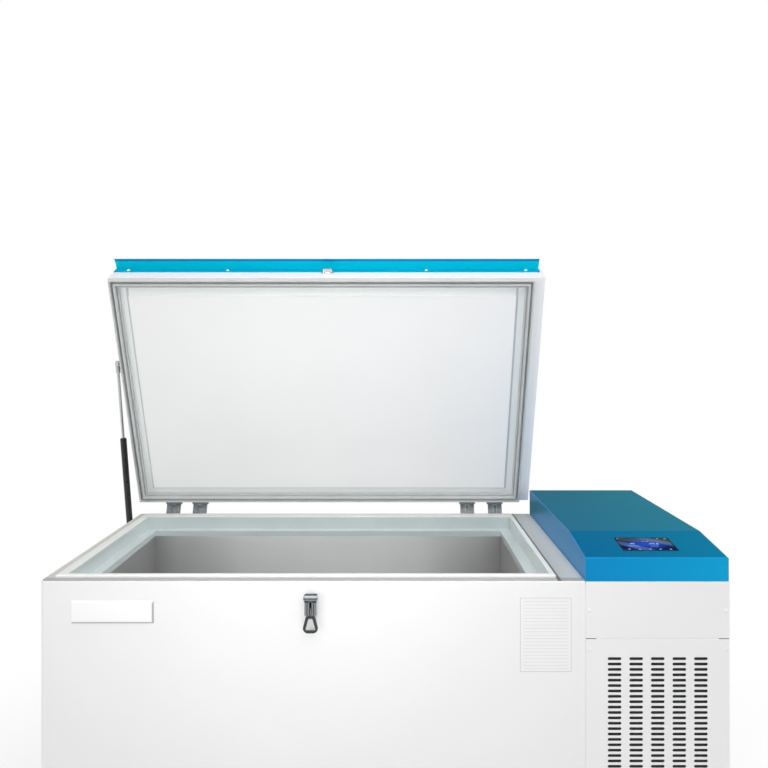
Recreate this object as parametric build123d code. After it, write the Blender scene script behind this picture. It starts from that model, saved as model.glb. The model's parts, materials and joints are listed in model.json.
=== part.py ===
"""Ultra low temperature chest freezer, lid open on its gas spring.

The freezer section is on the left and the machine section on the right. X runs to the
right, Y to the back and Z up. The origin is on the floor, below the middle of the whole.
"""
from build123d import *
from math import cos, hypot, radians, sin
import os

os.makedirs("parts", exist_ok=True)

# Overall sizes, in millimetres
BODY_W = 1500.0
BODY_D = 715.0
TOP_Z = 965.0
BASE_Z = 120.0
MACHINE_W = 314.0
SHEET = 1.2
CORNER_R = 12.0
EDGE_R = 3.0

# Throat and rim, as insets from the freezer section's left, right, front and back
RIM_OUT = (25.0, 59.0, 24.0, 28.0)
THROAT_IN = (51.0, 73.6, 39.0, 79.0)
LINER_IN = (77.0, 102.6, 65.0, 106.5)
RIM_UP = 7.6
RIM_GROOVE = 4.5
SEAT_IN = (3.0, 2.0, 3.0, 3.0)
SEAT_UP = 1.5
SEAT_GAP = 1.0
SEAT_CORNER_R = 9.0
COLLAR_DOWN = 0.8
LEDGE_DOWN = 27.5
THROAT_DOWN = 42.5
COLLAR_T = 3.0
LINER_T = 1.0
LINER_DEPTH = 650.0
LINER_FLANGE = 14.0

# Evaporator
COIL_TUBE_D = 9.5
COIL_TURNS = 5
COIL_DOWN = 60.0
COIL_PITCH = 105.0
COIL_BEND_R = 16.0
COIL_CLEAR = 0.3

# Lid
LID_T = 82.0
LID_LIFT = 18.6
LID_FRONT_GAP = 2.3
LID_SIDE_GAP = 5.0
LID_OPEN = 66.5
LID_SHEET = 1.2
LID_EDGE_R = 4.0
LID_RIGHT_BAND = 27.6
GASKET_W = 25.0
GASKET_BASE = 7.0
GASKET_LIP_W = 7.0
GASKET_LIP_IN = 6.0
SEAL_CLEAR = 0.3
PANEL_T = 2.5
PANEL_BORDER = 24.0
PANEL_BORDER_DROP = 3.5
PANEL_RAISE = 5.5
PANEL_DRAFT = 4.0

# Handle trim along the lid's front
TRIM_T = 1.5
TRIM_LOW = 46.0
TRIM_HIGH = 76.0
TRIM_REACH = 31.0
TRIM_DROOP = 7.4
TRIM_HEM = 6.0
TRIM_RIGHT_GAP = 7.0

# Lid hinges, as distances from the freezer section's left side
HINGE_X = (98.5, 179.0, 997.0, 1081.5)
HINGE_W = 42.0
HINGE_MID_W = 10.0
HINGE_BACK = 18.0
HINGE_UP = 31.0
LEAF_T = 2.5
LEAF_LOW = 72.0
LEAF_HIGH = 88.0
KNUCKLE_R = 6.0
KNUCKLE_GAP = 0.6
PIN_R = 3.0
PIN_CLEAR = 0.05
ARM_T = 4.0

# Gas spring, on the left side. Places are behind the front and above the top plane
SPRING_OUT = 15.0
SPRING_LOW = (684.8, -124.0)
SPRING_LID = (266.5, 36.5)
SPRING_TUBE_R = 9.0
SPRING_BORE_R = 7.6
SPRING_TUBE_L = 352.0
SPRING_ROD_R = 4.0
SPRING_PISTON_R = 7.3
SPRING_ENGAGED = 58.0
SPRING_SHANK_L = 14.0
SPRING_END_T = 10.0
SPRING_PISTON_H = 12.0
SPRING_SOCKET_L = 20.0
STUD_R = 4.0
STUD_PLATE_W = 28.0
STUD_HEAD_T = 2.0
STUD_COLLAR = 3.0
EYE_R = 8.5
EYE_W = 9.0
EYE_GAP = 0.6
SPRING_PLATE = 46.0

# Latch on the front, below the lid's middle
LATCH_X = 590.0
LATCH_Z = 33.0
LATCH_OUT = 12.5
LATCH_BASE_W = 24.0
LATCH_BASE_H = 30.0
LATCH_BARREL_R = 7.0
LATCH_BARREL_L = 23.6
LATCH_EAR_T = 2.2
LATCH_BASE_T = 2.0
LATCH_EAR_GAP = 0.4
LATCH_PIN_R = 2.5
LATCH_PIN_OUT = 1.2
LATCH_LEG_X = 6.9
LATCH_SLEEVE_R = 6.3
LATCH_ROD_R = 2.3
LATCH_LEG_L = 36.0
LATCH_BAR_W = 6.4
LATCH_BAR_T = 4.4
LATCH_RING_W = 37.0
LATCH_RING_END = 75.0
LATCH_RING_R = (4.0, 11.0)
LATCH_PULL = 24.0
LATCH_ENGAGED = 6.0
LATCH_RING_DOWN = 4.6

# Keeper on the lid's front
KEEPER_W = 33.0
KEEPER_MID = 41.0
KEEPER_H = 9.0
KEEPER_OUT = 14.0
KEEPER_T = 3.0
KEEPER_SIDE = 4.0

# Machine section's panels
SEAM_GAP = 1.0
UPPER_PANEL_H = 124.0
PANEL_GAP = 1.6
PANEL_RETURN = 18.0
SLOT_L = 29.7
SLOT_H = 6.4
SLOT_COLUMNS = 5
SLOT_ROWS = 24
BACK_SLOT_ROWS = 10
SLOT_PITCH_X = 46.9
SLOT_PITCH_Z = 11.7
SLOT_FIRST = 168.0
BACK_SLOT_FIRST = 420.0
ENTRY_PANEL_H = 180.0

# Machine cover and display
COVER_FRONT_UP = 51.6
COVER_TOP_UP = 72.8
COVER_SLOPE_D = 165.0
COVER_SIDE_GAP = 2.0
COVER_T = 1.5
COVER_EDGE_R = 2.5
SCREEN_W = 120.5
SCREEN_D = 75.5
SCREEN_T = 3.0
SCREEN_PROUD = 1.0
SCREEN_PLACE = 0.475
BEZEL_W = 2.0
DISPLAY_DEEP = 22.0

# Base frame, casters and levelling feet
CASTER_H = 98.0
RAIL_W = 84.0
RAIL_T = 3.0
RAIL_INSET = 22.0
CROSS_W = 50.0
WHEEL_R = 37.5
WHEEL_W = 26.0
TYRE_EDGE = 4.0
CASTER_TRAIL = 26.0
CASTER_INSET = 85.0
CASTER_PLATE = (78.0, 66.0)
CASTER_PLATE_T = 4.0
CASTER_CUP_R = 22.0
CASTER_CUP_H = 8.0
CASTER_GAP = 0.5
FORK_T = 3.0
FORK_GAP = 3.0
AXLE_R = 4.0
AXLE_CLEAR = 0.08
KINGPIN_R = 6.0
FOOT_R = 22.0
FOOT_H = 12.0
FOOT_STEM_R = 6.0
FOOT_OFFSET = 150.0

# Refrigeration
BAY_CLEAR = 8.0
VESSEL_BACK = 34.0
FLOOR_T = 2.5
FLOOR_LIP = 18.0
FRAME_LEG = 22.0
FRAME_WALL = 2.0
COMP_H = 205.0
COMP_GAP = 12.0
COMP_SEAM = 3.0
COMP_SEAM_H = 8.0
COMP_PLATE_T = 4.0
COMP_TERMINAL = (34.0, 52.0, 46.0)
COMP_FOOT_OVER = (23.0, -8.0)
GROMMET_H = 14.0
GROMMET_R = 12.0
COND_W = 262.0
COND_H = 300.0
COND_D = 44.0
COND_PLATE_T = 2.0
FIN_BACK = 3.0
FIN_MARGIN = 12.0
COND_GAP = 24.0
FIN_COUNT = 26
FIN_GROOVE = 4.0
SHROUD_D = 62.0
SHROUD_T = 1.5
FAN_R = 112.0
FAN_TIP_GAP = 5.0
FAN_RIM_T = 2.0
MOTOR_ARM_W = 14.0
FAN_HUB_R = 32.0
FAN_HUB_L = 26.0
FAN_BLADES = 5
FAN_PITCH = 28.0
FAN_BLADE_T = 2.0
FAN_BLADE_W = 62.0
FAN_ROOT = 14.0
FAN_THROAT = 10.0
MOTOR_R = 40.0
MOTOR_L = 58.0
MOTOR_SHAFT_R = 4.0
DRIER_R = 20.0
DRIER_L = 95.0
EXCHANGER_R = 46.0
EXCHANGER_H = 330.0
TANK_R = 50.0
TANK_H = 300.0
TUBE_R = 5.0
TUBE_BEND = 22.0
TUBE_RISE = 60.0
DRIER_OFF = 14.0
DRIER_UP = 70.0
VESSEL_LIFT = 8.0
VESSEL_T = 3.0
VESSEL_STAND_H = 20.0
VESSEL_STAND_T = 2.0
CONTROL_BOX = (70.0, 260.0, 150.0)
CONTROL_DOWN = 60.0
CONTROL_OFF = 22.0
CONTROL_TAB_W = 16.0

# Power entry on the back
INLET = (32.0, 26.0, 22.0)
INLET_X = 60.0
INLET_UP = 70.0
SOCKET = (24.0, 19.0, 16.0)
BLADE = (8.0, 2.0)
SWITCH = (24.0, 30.0, 20.0)
SWITCH_UP = 120.0
ROCKER_ANGLE = 14.0
FLANGE_T = 2.5

# Places that follow from the sizes above
hinge_to_corner = (LID_LIFT + LID_T - HINGE_UP, -HINGE_BACK)
rear_swing = hinge_to_corner[0] * sin(radians(LID_OPEN)) + hinge_to_corner[1] * cos(radians(LID_OPEN))
rear_reach = HINGE_BACK + rear_swing
front_reach = LATCH_OUT + LATCH_BARREL_R
left_reach = SPRING_OUT + SPRING_TUBE_R
X_LEFT = (left_reach - BODY_W) / 2
X_RIGHT = X_LEFT + BODY_W
X_SEAM = X_RIGHT - MACHINE_W
Y_FRONT = (front_reach - BODY_D - rear_reach) / 2
Y_BACK = Y_FRONT + BODY_D
LEDGE_Z = TOP_Z - LEDGE_DOWN
THROAT_Z = TOP_Z - THROAT_DOWN
LINER_Z = THROAT_Z - LINER_DEPTH
HINGE_Y = Y_BACK + HINGE_BACK
HINGE_Z = TOP_Z + HINGE_UP
LID_X = (X_LEFT, X_SEAM - LID_SIDE_GAP)
LID_Y = (Y_FRONT + LID_FRONT_GAP, Y_BACK)
LID_Z = TOP_Z + LID_LIFT
SPRING_X = X_LEFT - SPRING_OUT
BAY_X = (X_SEAM + SEAM_GAP + SHEET, X_RIGHT - SHEET)
BAY_MID = (BAY_X[0] + BAY_X[1]) / 2
FLOOR_Z = BASE_Z + FLOOR_T
RAIL_Z = CASTER_H + RAIL_T
motor_back = SHEET + COND_GAP + COND_D + SHROUD_D + FAN_THROAT + ARM_T + MOTOR_L
comp_room = BODY_D - VESSEL_BACK - 2 * TANK_R - motor_back
COMP_R = (comp_room - 3 * COMP_GAP) / 4 - COMP_SEAM
COMP_FRONT_Y = motor_back + COMP_GAP + COMP_R + COMP_SEAM
COMP_BACK_Y = COMP_FRONT_Y + COMP_GAP + 2 * (COMP_R + COMP_SEAM)
COMP_FOOT = (2 * (COMP_R + COMP_FOOT_OVER[0]), 2 * (COMP_R + COMP_FOOT_OVER[1]))


def block(x, y, z):
    """Box between the two values of each pair."""
    size = Box(x[1] - x[0], y[1] - y[0], z[1] - z[0])
    return Pos((x[0] + x[1]) / 2, (y[0] + y[1]) / 2, (z[0] + z[1]) / 2) * size


def shrink(pair, wall):
    """Two limits moved towards each other by a wall."""
    return pair[0] + wall, pair[1] - wall


def bar(start, end, radius):
    """Round bar from one point to another."""
    run = Vector(*end) - Vector(*start)
    return extrude(Plane(origin=start, z_dir=run) * Circle(radius), amount=run.length)


def profile_x(points, x0, x1):
    """Outline of Y and Z points, extruded along X."""
    face = make_face(Polyline(*points, close=True))
    return extrude(Plane.YZ.offset(x0) * face, amount=x1 - x0, dir=(1, 0, 0))


def slab_x(start, end, thickness, x0, x1):
    """Flat strip between two points of Y and Z, extruded along X."""
    dy, dz = end[0] - start[0], end[1] - start[1]
    scale = thickness / 2 / hypot(dy, dz)
    ny, nz = -dz * scale, dy * scale
    corners = [
        (start[0] + ny, start[1] + nz),
        (end[0] + ny, end[1] + nz),
        (end[0] - ny, end[1] - nz),
        (start[0] - ny, start[1] - nz),
    ]
    return profile_x(corners, x0, x1)


def freezer_rect(insets, grow=0.0):
    """X and Y limits at four insets from the freezer section's sides, grown outwards."""
    left, right, front, back = insets
    x = (X_LEFT + left - grow, X_SEAM - right + grow)
    y = (Y_FRONT + front - grow, Y_BACK - back + grow)
    return x, y


def tube_path(points, radius, bend):
    """Round tube along straight runs with rounded corners."""
    path = FilletPolyline(*points, radius=bend)
    start = Plane(origin=path @ 0, z_dir=path % 0)
    return sweep(start * Circle(radius), path=path)


def open_lid(piece):
    """Turns a piece of the closed lid to the open stop."""
    to_hinge = Pos(0, HINGE_Y, HINGE_Z)
    from_hinge = Pos(0, -HINGE_Y, -HINGE_Z)
    return to_hinge * Rot(-LID_OPEN, 0, 0) * from_hinge * piece


# Cabinet


def cabinet_form(inset, y_end, z0, z1):
    """Freezer section's outline, with its left front corner and top edges rounded."""
    form = block((X_LEFT + inset, X_SEAM - inset), (Y_FRONT + inset, y_end), (z0, z1))
    upright = form.edges().filter_by(Axis.Z)
    corner = upright.sort_by(lambda e: e.center().X + e.center().Y)[0]
    form = fillet(corner, CORNER_R - inset)
    top = form.faces().sort_by(Axis.Z)[-1].edges()
    rounded = [e for e in top if e.center().X < X_SEAM - 2 * EDGE_R and e.center().Y < y_end - EDGE_R]
    return fillet(rounded, max(EDGE_R - inset, EDGE_R / 4))


def cabinet_cavity(z0, z1):
    """Space inside the cabinet's sheet, between two heights."""
    form = cabinet_form(SHEET, Y_BACK - SHEET, BASE_Z, TOP_Z - SHEET)
    return form & block((X_LEFT, X_SEAM), (Y_FRONT, Y_BACK), (z0, z1))


def cabinet_wrap():
    outer = cabinet_form(0.0, Y_BACK, BASE_Z, TOP_Z)
    inner = cabinet_form(SHEET, Y_BACK + 1, BASE_Z - 1, TOP_Z - SHEET)
    mouth_x, mouth_y = freezer_rect(RIM_OUT, RIM_GROOVE)
    return outer - inner - block(mouth_x, mouth_y, (TOP_Z - 2 * SHEET, TOP_Z + 1))


def cabinet_back_panel():
    form = cabinet_form(SHEET, Y_BACK + 1, BASE_Z, TOP_Z - SHEET)
    return form & block((X_LEFT, X_SEAM), (Y_BACK - SHEET, Y_BACK), (BASE_Z, TOP_Z))


def cabinet_bottom_pan():
    return cabinet_cavity(BASE_Z, BASE_Z + SHEET)


def coil_offset():
    """How far the coil's line stands off the liner's inside, so that its bends clear the corners."""
    bend_in = (2 ** 0.5 - 1) * COIL_BEND_R
    return LINER_T + (COIL_TUBE_D / 2 + COIL_CLEAR + bend_in) / 2 ** 0.5


def coil_pocket():
    """Room round the liner for the evaporator's tubes."""
    x, y = freezer_rect(LINER_IN, coil_offset() + COIL_TUBE_D / 2 + COIL_CLEAR)
    low = coil_top() - COIL_TURNS * COIL_PITCH - COIL_TUBE_D
    return block(x, y, (low, coil_top() + COIL_TUBE_D))


def coil_top():
    return THROAT_Z - COIL_DOWN


def collar_outer():
    upper = block(*freezer_rect(THROAT_IN, COLLAR_T), (LEDGE_Z - COLLAR_T, TOP_Z + RIM_UP - COLLAR_DOWN))
    lower = block(*freezer_rect(LINER_IN, COLLAR_T), (THROAT_Z, LEDGE_Z))
    return upper + lower


def liner_outer():
    tub = block(*freezer_rect(LINER_IN, LINER_T), (LINER_Z - LINER_T, THROAT_Z))
    flange = block(*freezer_rect(LINER_IN, LINER_FLANGE), (THROAT_Z - LINER_T, THROAT_Z))
    return tub + flange


def cabinet_foam():
    foam = cabinet_cavity(BASE_Z + SHEET, TOP_Z - SHEET)
    return foam - collar_outer() - liner_outer() - coil_pocket()


def throat_collar():
    upper = block(*freezer_rect(THROAT_IN), (LEDGE_Z, TOP_Z + RIM_UP))
    lower = block(*freezer_rect(LINER_IN), (THROAT_Z - 1, LEDGE_Z + 1))
    return collar_outer() - upper - lower


def inner_liner():
    return liner_outer() - block(*freezer_rect(LINER_IN), (LINER_Z, THROAT_Z + 1))


def rim_frame():
    height = (TOP_Z - SHEET, TOP_Z + RIM_UP)
    frame = block(*freezer_rect(RIM_OUT), height)
    frame = chamfer(frame.faces().sort_by(Axis.Z)[-1].edges(), 1.5)
    return frame - block(*freezer_rect(THROAT_IN, COLLAR_T), (TOP_Z - 2 * SHEET, TOP_Z + RIM_UP + 1))


def rim_seal():
    """Flat seat on the cabinet's top that the lid's seal lands on, its foot in the groove round the rim."""
    seat = block(*freezer_rect(SEAT_IN), (TOP_Z, TOP_Z + SEAT_UP))
    seat = fillet(seat.edges().filter_by(Axis.Z), SEAT_CORNER_R)
    foot = block(*freezer_rect(RIM_OUT, RIM_GROOVE), (TOP_Z - SHEET, TOP_Z + SEAT_UP))
    return seat + foot - block(*freezer_rect(RIM_OUT, SEAT_GAP), (TOP_Z - 2 * SHEET, TOP_Z + 2 * SEAT_UP))


def evaporator_coil():
    """One tube wound down round the liner, each turn falling along its back run."""
    (x0, x1), (y0, y1) = freezer_rect(LINER_IN, coil_offset())
    points = [(x1, (y0 + y1) / 2, coil_top())]
    for turn in range(COIL_TURNS):
        z = coil_top() - turn * COIL_PITCH
        points += [(x1, y0, z), (x0, y0, z), (x0, y1, z), (x1, y1, z - COIL_PITCH)]
    points.append((x1, (y0 + y1) / 2, points[-1][2]))
    return tube_path(points, COIL_TUBE_D / 2, COIL_BEND_R)


# Lid, drawn closed


def lid_box(inset, low, high):
    x = (LID_X[0] + inset, LID_X[1] - inset)
    y = (LID_Y[0] + inset, LID_Y[1] - inset)
    return block(x, y, (low, high))


def gasket_rect(inset):
    """X and Y limits of the seal's outer edge, moved inwards."""
    x = (LID_X[0] + LID_SHEET + inset, LID_X[1] - LID_RIGHT_BAND - inset)
    y = (LID_Y[0] + LID_SHEET + inset, LID_Y[1] - LID_SHEET - inset)
    return x, y


def lid_shell():
    outer = lid_box(0.0, LID_Z, LID_Z + LID_T)
    upper = outer.faces().sort_by(Axis.Z)[-1].edges()
    outer = fillet(upper, LID_EDGE_R)
    inner = lid_box(LID_SHEET, LID_Z + LID_SHEET, LID_Z + LID_T - LID_SHEET)
    inner = fillet(inner.faces().sort_by(Axis.Z)[-1].edges(), max(LID_EDGE_R - LID_SHEET, LID_EDGE_R / 4))
    mouth = block(*gasket_rect(0.0), (LID_Z - 1, LID_Z + 2 * LID_SHEET))
    return outer - inner - mouth


def panel_form(thickness):
    """Sloping border with the raised panel inside it, less a wall's thickness."""
    (x0, x1), (y0, y1) = gasket_rect(GASKET_W + thickness)
    (u0, u1), (v0, v1) = gasket_rect(GASKET_W + PANEL_BORDER + thickness)
    middle = ((x0 + x1) / 2, (y0 + y1) / 2)
    top = Plane(origin=(*middle, LID_Z + LID_SHEET), z_dir=(0, 0, 1))
    border_low = top.offset(-LID_SHEET - PANEL_BORDER_DROP + thickness)
    wide = top * Rectangle(x1 - x0, y1 - y0)
    narrow = border_low * Rectangle(u1 - u0, v1 - v0)
    border = loft([wide, narrow])
    raised = extrude(narrow, amount=PANEL_RAISE, dir=(0, 0, -1), taper=PANEL_DRAFT)
    return border + raised


def lid_inner_panel():
    plate_x, plate_y = gasket_rect(0.0)
    plate = block(plate_x, plate_y, (LID_Z + LID_SHEET, LID_Z + LID_SHEET + PANEL_T))
    hollow = panel_form(PANEL_T)
    (x0, x1), (y0, y1) = gasket_rect(GASKET_W + PANEL_T)
    opening = block((x0, x1), (y0, y1), (LID_Z + LID_SHEET, LID_Z + 2 * LID_SHEET + PANEL_T))
    return plate + panel_form(0.0) - hollow - opening


def lid_foam():
    inner = lid_box(LID_SHEET, LID_Z + LID_SHEET, LID_Z + LID_T - LID_SHEET)
    inner = fillet(inner.faces().sort_by(Axis.Z)[-1].edges(), max(LID_EDGE_R - LID_SHEET, LID_EDGE_R / 4))
    return inner - lid_inner_panel() - lid_gasket_seat()


def lid_gasket_seat():
    """Room under the panel's plate that the seal's base takes."""
    return block(*gasket_rect(0.0), (LID_Z, LID_Z + LID_SHEET))


def lid_gasket():
    """Ring with two lips that meet the cabinet's top round the rim."""
    foot = block(*gasket_rect(0.0), (LID_Z - GASKET_BASE, LID_Z + LID_SHEET))
    seal_z = (TOP_Z + SEAT_UP + SEAL_CLEAR, LID_Z - GASKET_BASE)
    outer_lip = lip_ring(0.0, seal_z)
    inner_lip = lip_ring(GASKET_W - GASKET_LIP_IN - GASKET_LIP_W, seal_z)
    hole = block(*gasket_rect(GASKET_W), (TOP_Z, LID_Z + 2 * LID_SHEET))
    return foot - hole + outer_lip + inner_lip


def lip_ring(inset, z):
    ring = block(*gasket_rect(inset), z)
    return ring - block(*gasket_rect(inset + GASKET_LIP_W), (z[0] - 1, z[1] + 1))


def handle_trim():
    """Bent strip: a flange on the lid's front, a drooping hand grip and a hem."""
    x = (LID_X[0], LID_X[1] - TRIM_RIGHT_GAP)
    face = LID_Y[0]
    crease = (face - TRIM_T / 2, LID_Z + TRIM_HIGH)
    tip = (face - TRIM_REACH, LID_Z + TRIM_HIGH - TRIM_DROOP)
    flange = block(x, (face - TRIM_T, face), (LID_Z + TRIM_LOW, LID_Z + TRIM_HIGH))
    grip = slab_x(crease, tip, TRIM_T, *x)
    bend = block(x, (face - TRIM_T, face), (crease[1] - TRIM_T / 2, crease[1] + TRIM_T / 2))
    hem = slab_x(tip, (tip[0] - TRIM_HEM / 3, tip[1] - TRIM_HEM), TRIM_T, *x)
    return flange + bend + grip + hem


def lid_catch():
    """Keeper plate with a lip that the latch's ring hooks over."""
    x0 = X_LEFT + LATCH_X - KEEPER_W / 2
    x1 = x0 + KEEPER_W
    z = LID_Z + KEEPER_MID - KEEPER_H / 2
    face = LID_Y[0]
    plate = block((x0, x1), (face - KEEPER_T, face), (z - KEEPER_H, z + KEEPER_H / 2))
    lip_x = shrink((x0, x1), KEEPER_SIDE)
    tip = face - KEEPER_OUT
    arm = block(lip_x, (tip, face), (z - KEEPER_T, z))
    lip = block(lip_x, (tip, tip + KEEPER_T), (z - KEEPER_T, z + KEEPER_T))
    return plate + arm + lip


# Hinges


def knuckle_bore(x0, x1):
    return bar((x0 - 1, HINGE_Y, HINGE_Z), (x1 + 1, HINGE_Y, HINGE_Z), PIN_R + PIN_CLEAR)


def knuckle(x0, x1):
    return bar((x0, HINGE_Y, HINGE_Z), (x1, HINGE_Y, HINGE_Z), KNUCKLE_R)


def hinge_spans(offset):
    """X limits of one hinge: its leaf, its middle knuckle and its two outer knuckles."""
    x0 = X_LEFT + offset - HINGE_W / 2
    side = (HINGE_W - HINGE_MID_W) / 2
    middle = (x0 + side, x0 + side + HINGE_MID_W)
    outer = [(x0, middle[0] - KNUCKLE_GAP), (middle[1] + KNUCKLE_GAP, x0 + HINGE_W)]
    return (x0, x0 + HINGE_W), middle, outer


def lower_leaf(offset):
    """Plate on the cabinet's back with an arm and a knuckle at each side."""
    whole, _, outer = hinge_spans(offset)
    plate_top = TOP_Z - 2 * LEAF_T
    leaf = block(whole, (Y_BACK, Y_BACK + LEAF_T), (TOP_Z - LEAF_LOW, plate_top))
    for span in outer:
        arm = slab_x((Y_BACK + LEAF_T / 2, plate_top - ARM_T), (HINGE_Y, HINGE_Z), ARM_T, *span)
        arm -= block(span, (Y_BACK - 2 * ARM_T, Y_BACK), (TOP_Z - LEAF_LOW, HINGE_Z))
        leaf += arm + knuckle(*span)
    return leaf - knuckle_bore(*whole)


def upper_leaf(offset):
    """Plate on the lid's back with one knuckle between the cabinet's two."""
    whole, middle, _ = hinge_spans(offset)
    plate_low = HINGE_Z + KNUCKLE_R + 1
    leaf = block(whole, (Y_BACK, Y_BACK + LEAF_T), (plate_low, TOP_Z + LEAF_HIGH))
    arm = slab_x((Y_BACK + LEAF_T / 2, plate_low + ARM_T), (HINGE_Y, HINGE_Z), ARM_T, *middle)
    arm -= block(middle, (Y_BACK - 2 * ARM_T, Y_BACK), (HINGE_Z, TOP_Z + LEAF_HIGH))
    return leaf + arm + knuckle(*middle) - knuckle_bore(*middle)


def hinge_pin(offset):
    whole, _, _ = hinge_spans(offset)
    pin = bar((whole[0] - 1.5, HINGE_Y, HINGE_Z), (whole[1] + 1.5, HINGE_Y, HINGE_Z), PIN_R)
    for x0, x1 in ((whole[0] - 3, whole[0] - 1), (whole[1] + 1, whole[1] + 3)):
        pin += bar((x0, HINGE_Y, HINGE_Z), (x1, HINGE_Y, HINGE_Z), PIN_R + 1.5)
    return pin


# Gas spring


def spring_point(place):
    return Y_FRONT + place[0], TOP_Z + place[1]


def opened(place):
    """Where a point of the closed lid lies at the open stop, as Y and Z."""
    y, z = spring_point(place)
    dy, dz = y - HINGE_Y, z - HINGE_Z
    turn = radians(LID_OPEN)
    return HINGE_Y + dy * cos(turn) + dz * sin(turn), HINGE_Z - dy * sin(turn) + dz * cos(turn)


SPRING_FOOT = spring_point(SPRING_LOW)
SPRING_END = opened(SPRING_LID)
SPRING_END_SHUT = spring_point(SPRING_LID)
SPRING_L = hypot(SPRING_END[0] - SPRING_FOOT[0], SPRING_END[1] - SPRING_FOOT[1])
SPRING_L_SHUT = hypot(SPRING_END_SHUT[0] - SPRING_FOOT[0], SPRING_END_SHUT[1] - SPRING_FOOT[1])
SPRING_PLANE = Plane(
    origin=(SPRING_X, *SPRING_FOOT),
    x_dir=(1, 0, 0),
    z_dir=(0, SPRING_END[0] - SPRING_FOOT[0], SPRING_END[1] - SPRING_FOOT[1]),
)


def spring_eye(at):
    """End fitting that turns on a stud, at a place along the spring."""
    return Pos(0, 0, at) * Rot(0, 90, 0) * Cylinder(EYE_R, EYE_W)


def eye_bore(at):
    return Pos(0, 0, at) * Rot(0, 90, 0) * Cylinder(STUD_R + AXLE_CLEAR, EYE_W + 2)


def spring_cylinder():
    foot = EYE_R + SPRING_SHANK_L
    tube = Pos(0, 0, foot + SPRING_TUBE_L / 2) * Cylinder(SPRING_TUBE_R, SPRING_TUBE_L)
    bore_l = SPRING_TUBE_L - 2 * SPRING_END_T
    bore = Pos(0, 0, foot + SPRING_END_T + bore_l / 2) * Cylinder(SPRING_BORE_R, bore_l)
    gland = Pos(0, 0, foot + SPRING_TUBE_L) * Cylinder(SPRING_ROD_R + AXLE_CLEAR, 4 * SPRING_END_T)
    shank = Pos(0, 0, foot / 2) * Cylinder(STUD_R, foot)
    body = tube - bore - gland + shank + spring_eye(0.0)
    return SPRING_PLANE.location * (body - eye_bore(0.0))


def spring_rod():
    gland = EYE_R + SPRING_SHANK_L + SPRING_TUBE_L
    low = gland - SPRING_ENGAGED
    rod_l = SPRING_L - EYE_R / 2 - low
    rod = Pos(0, 0, low + rod_l / 2) * Cylinder(SPRING_ROD_R, rod_l)
    piston = Pos(0, 0, low + SPRING_PISTON_H / 2) * Cylinder(SPRING_PISTON_R, SPRING_PISTON_H)
    socket_mid = SPRING_L - EYE_R - 0.4 * SPRING_SOCKET_L
    socket = Pos(0, 0, socket_mid) * Cylinder(STUD_R + STUD_HEAD_T, SPRING_SOCKET_L)
    return SPRING_PLANE.location * (rod + piston + socket + spring_eye(SPRING_L))


def stud_plate(middle, width, height):
    """Plate on the left side, at a middle given in Y and Z."""
    y, z = middle
    return block((X_LEFT - LEAF_T, X_LEFT), (y - width / 2, y + width / 2), (z - height / 2, z + height / 2))


def cabinet_stud():
    """Plate on the cabinet's side with the stud that the spring's foot turns on."""
    y, z = SPRING_FOOT
    plate = stud_plate(SPRING_FOOT, STUD_PLATE_W, SPRING_PLATE)
    head_x = SPRING_X - EYE_W / 2 - EYE_GAP
    stud = bar((X_LEFT, y, z), (head_x - STUD_HEAD_T, y, z), STUD_R)
    head = bar((head_x, y, z), (head_x - STUD_HEAD_T, y, z), STUD_R + STUD_HEAD_T)
    collar = bar((X_LEFT, y, z), (SPRING_X + EYE_W / 2 + EYE_GAP, y, z), STUD_R + STUD_COLLAR)
    return plate + stud + head + collar


def lid_stud():
    """Plate on the lid's side whose stud ends just short of the spring's socket."""
    y, z = SPRING_END_SHUT
    plate = stud_plate(SPRING_END_SHUT, SPRING_PLATE, STUD_PLATE_W)
    stud = bar((X_LEFT, y, z), (SPRING_X + EYE_W / 2 + EYE_GAP, y, z), STUD_R)
    collar = bar((X_LEFT, y, z), (X_LEFT - LEAF_T - STUD_COLLAR, y, z), STUD_R + STUD_COLLAR)
    return plate + stud + collar


# Latch

LATCH_MID = X_LEFT + LATCH_X
LATCH_AXIS = (Y_FRONT - LATCH_OUT, TOP_Z - LATCH_Z)


def latch_base():
    """Plate with two round ears that hold the barrel's pin."""
    y, z = LATCH_AXIS
    half = LATCH_BASE_W / 2
    plate_x = (LATCH_MID - half, LATCH_MID + half)
    plate_y = (Y_FRONT - LATCH_BASE_T, Y_FRONT)
    ear_z = (z - LATCH_BARREL_R, z + LATCH_BARREL_R * 0.8)
    base = block(plate_x, plate_y, (z - LATCH_BASE_H * 0.8, z + LATCH_BASE_H * 0.2))
    ear_x = LATCH_BARREL_L / 2 + LATCH_EAR_GAP
    for side in (-1, 1):
        x0, x1 = sorted((LATCH_MID + side * ear_x, LATCH_MID + side * (ear_x + LATCH_EAR_T)))
        base += bar((x0, y, z), (x1, y, z), LATCH_BARREL_R)
        base += block((x0, x1), (y, Y_FRONT), ear_z)
        foot_x = sorted((LATCH_MID + side * (half - 1), LATCH_MID + side * (ear_x + LATCH_EAR_T)))
        base += block(foot_x, plate_y, ear_z)
    pin_x = ear_x + LATCH_EAR_T + LATCH_PIN_OUT
    return base + bar((LATCH_MID - pin_x, y, z), (LATCH_MID + pin_x, y, z), LATCH_PIN_R)


def latch_rod_top():
    """Top of the ring's rods, long enough to stay in the sleeves when the ring is drawn out."""
    return LATCH_AXIS[1] - LATCH_LEG_L + LATCH_PULL + LATCH_ENGAGED


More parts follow.
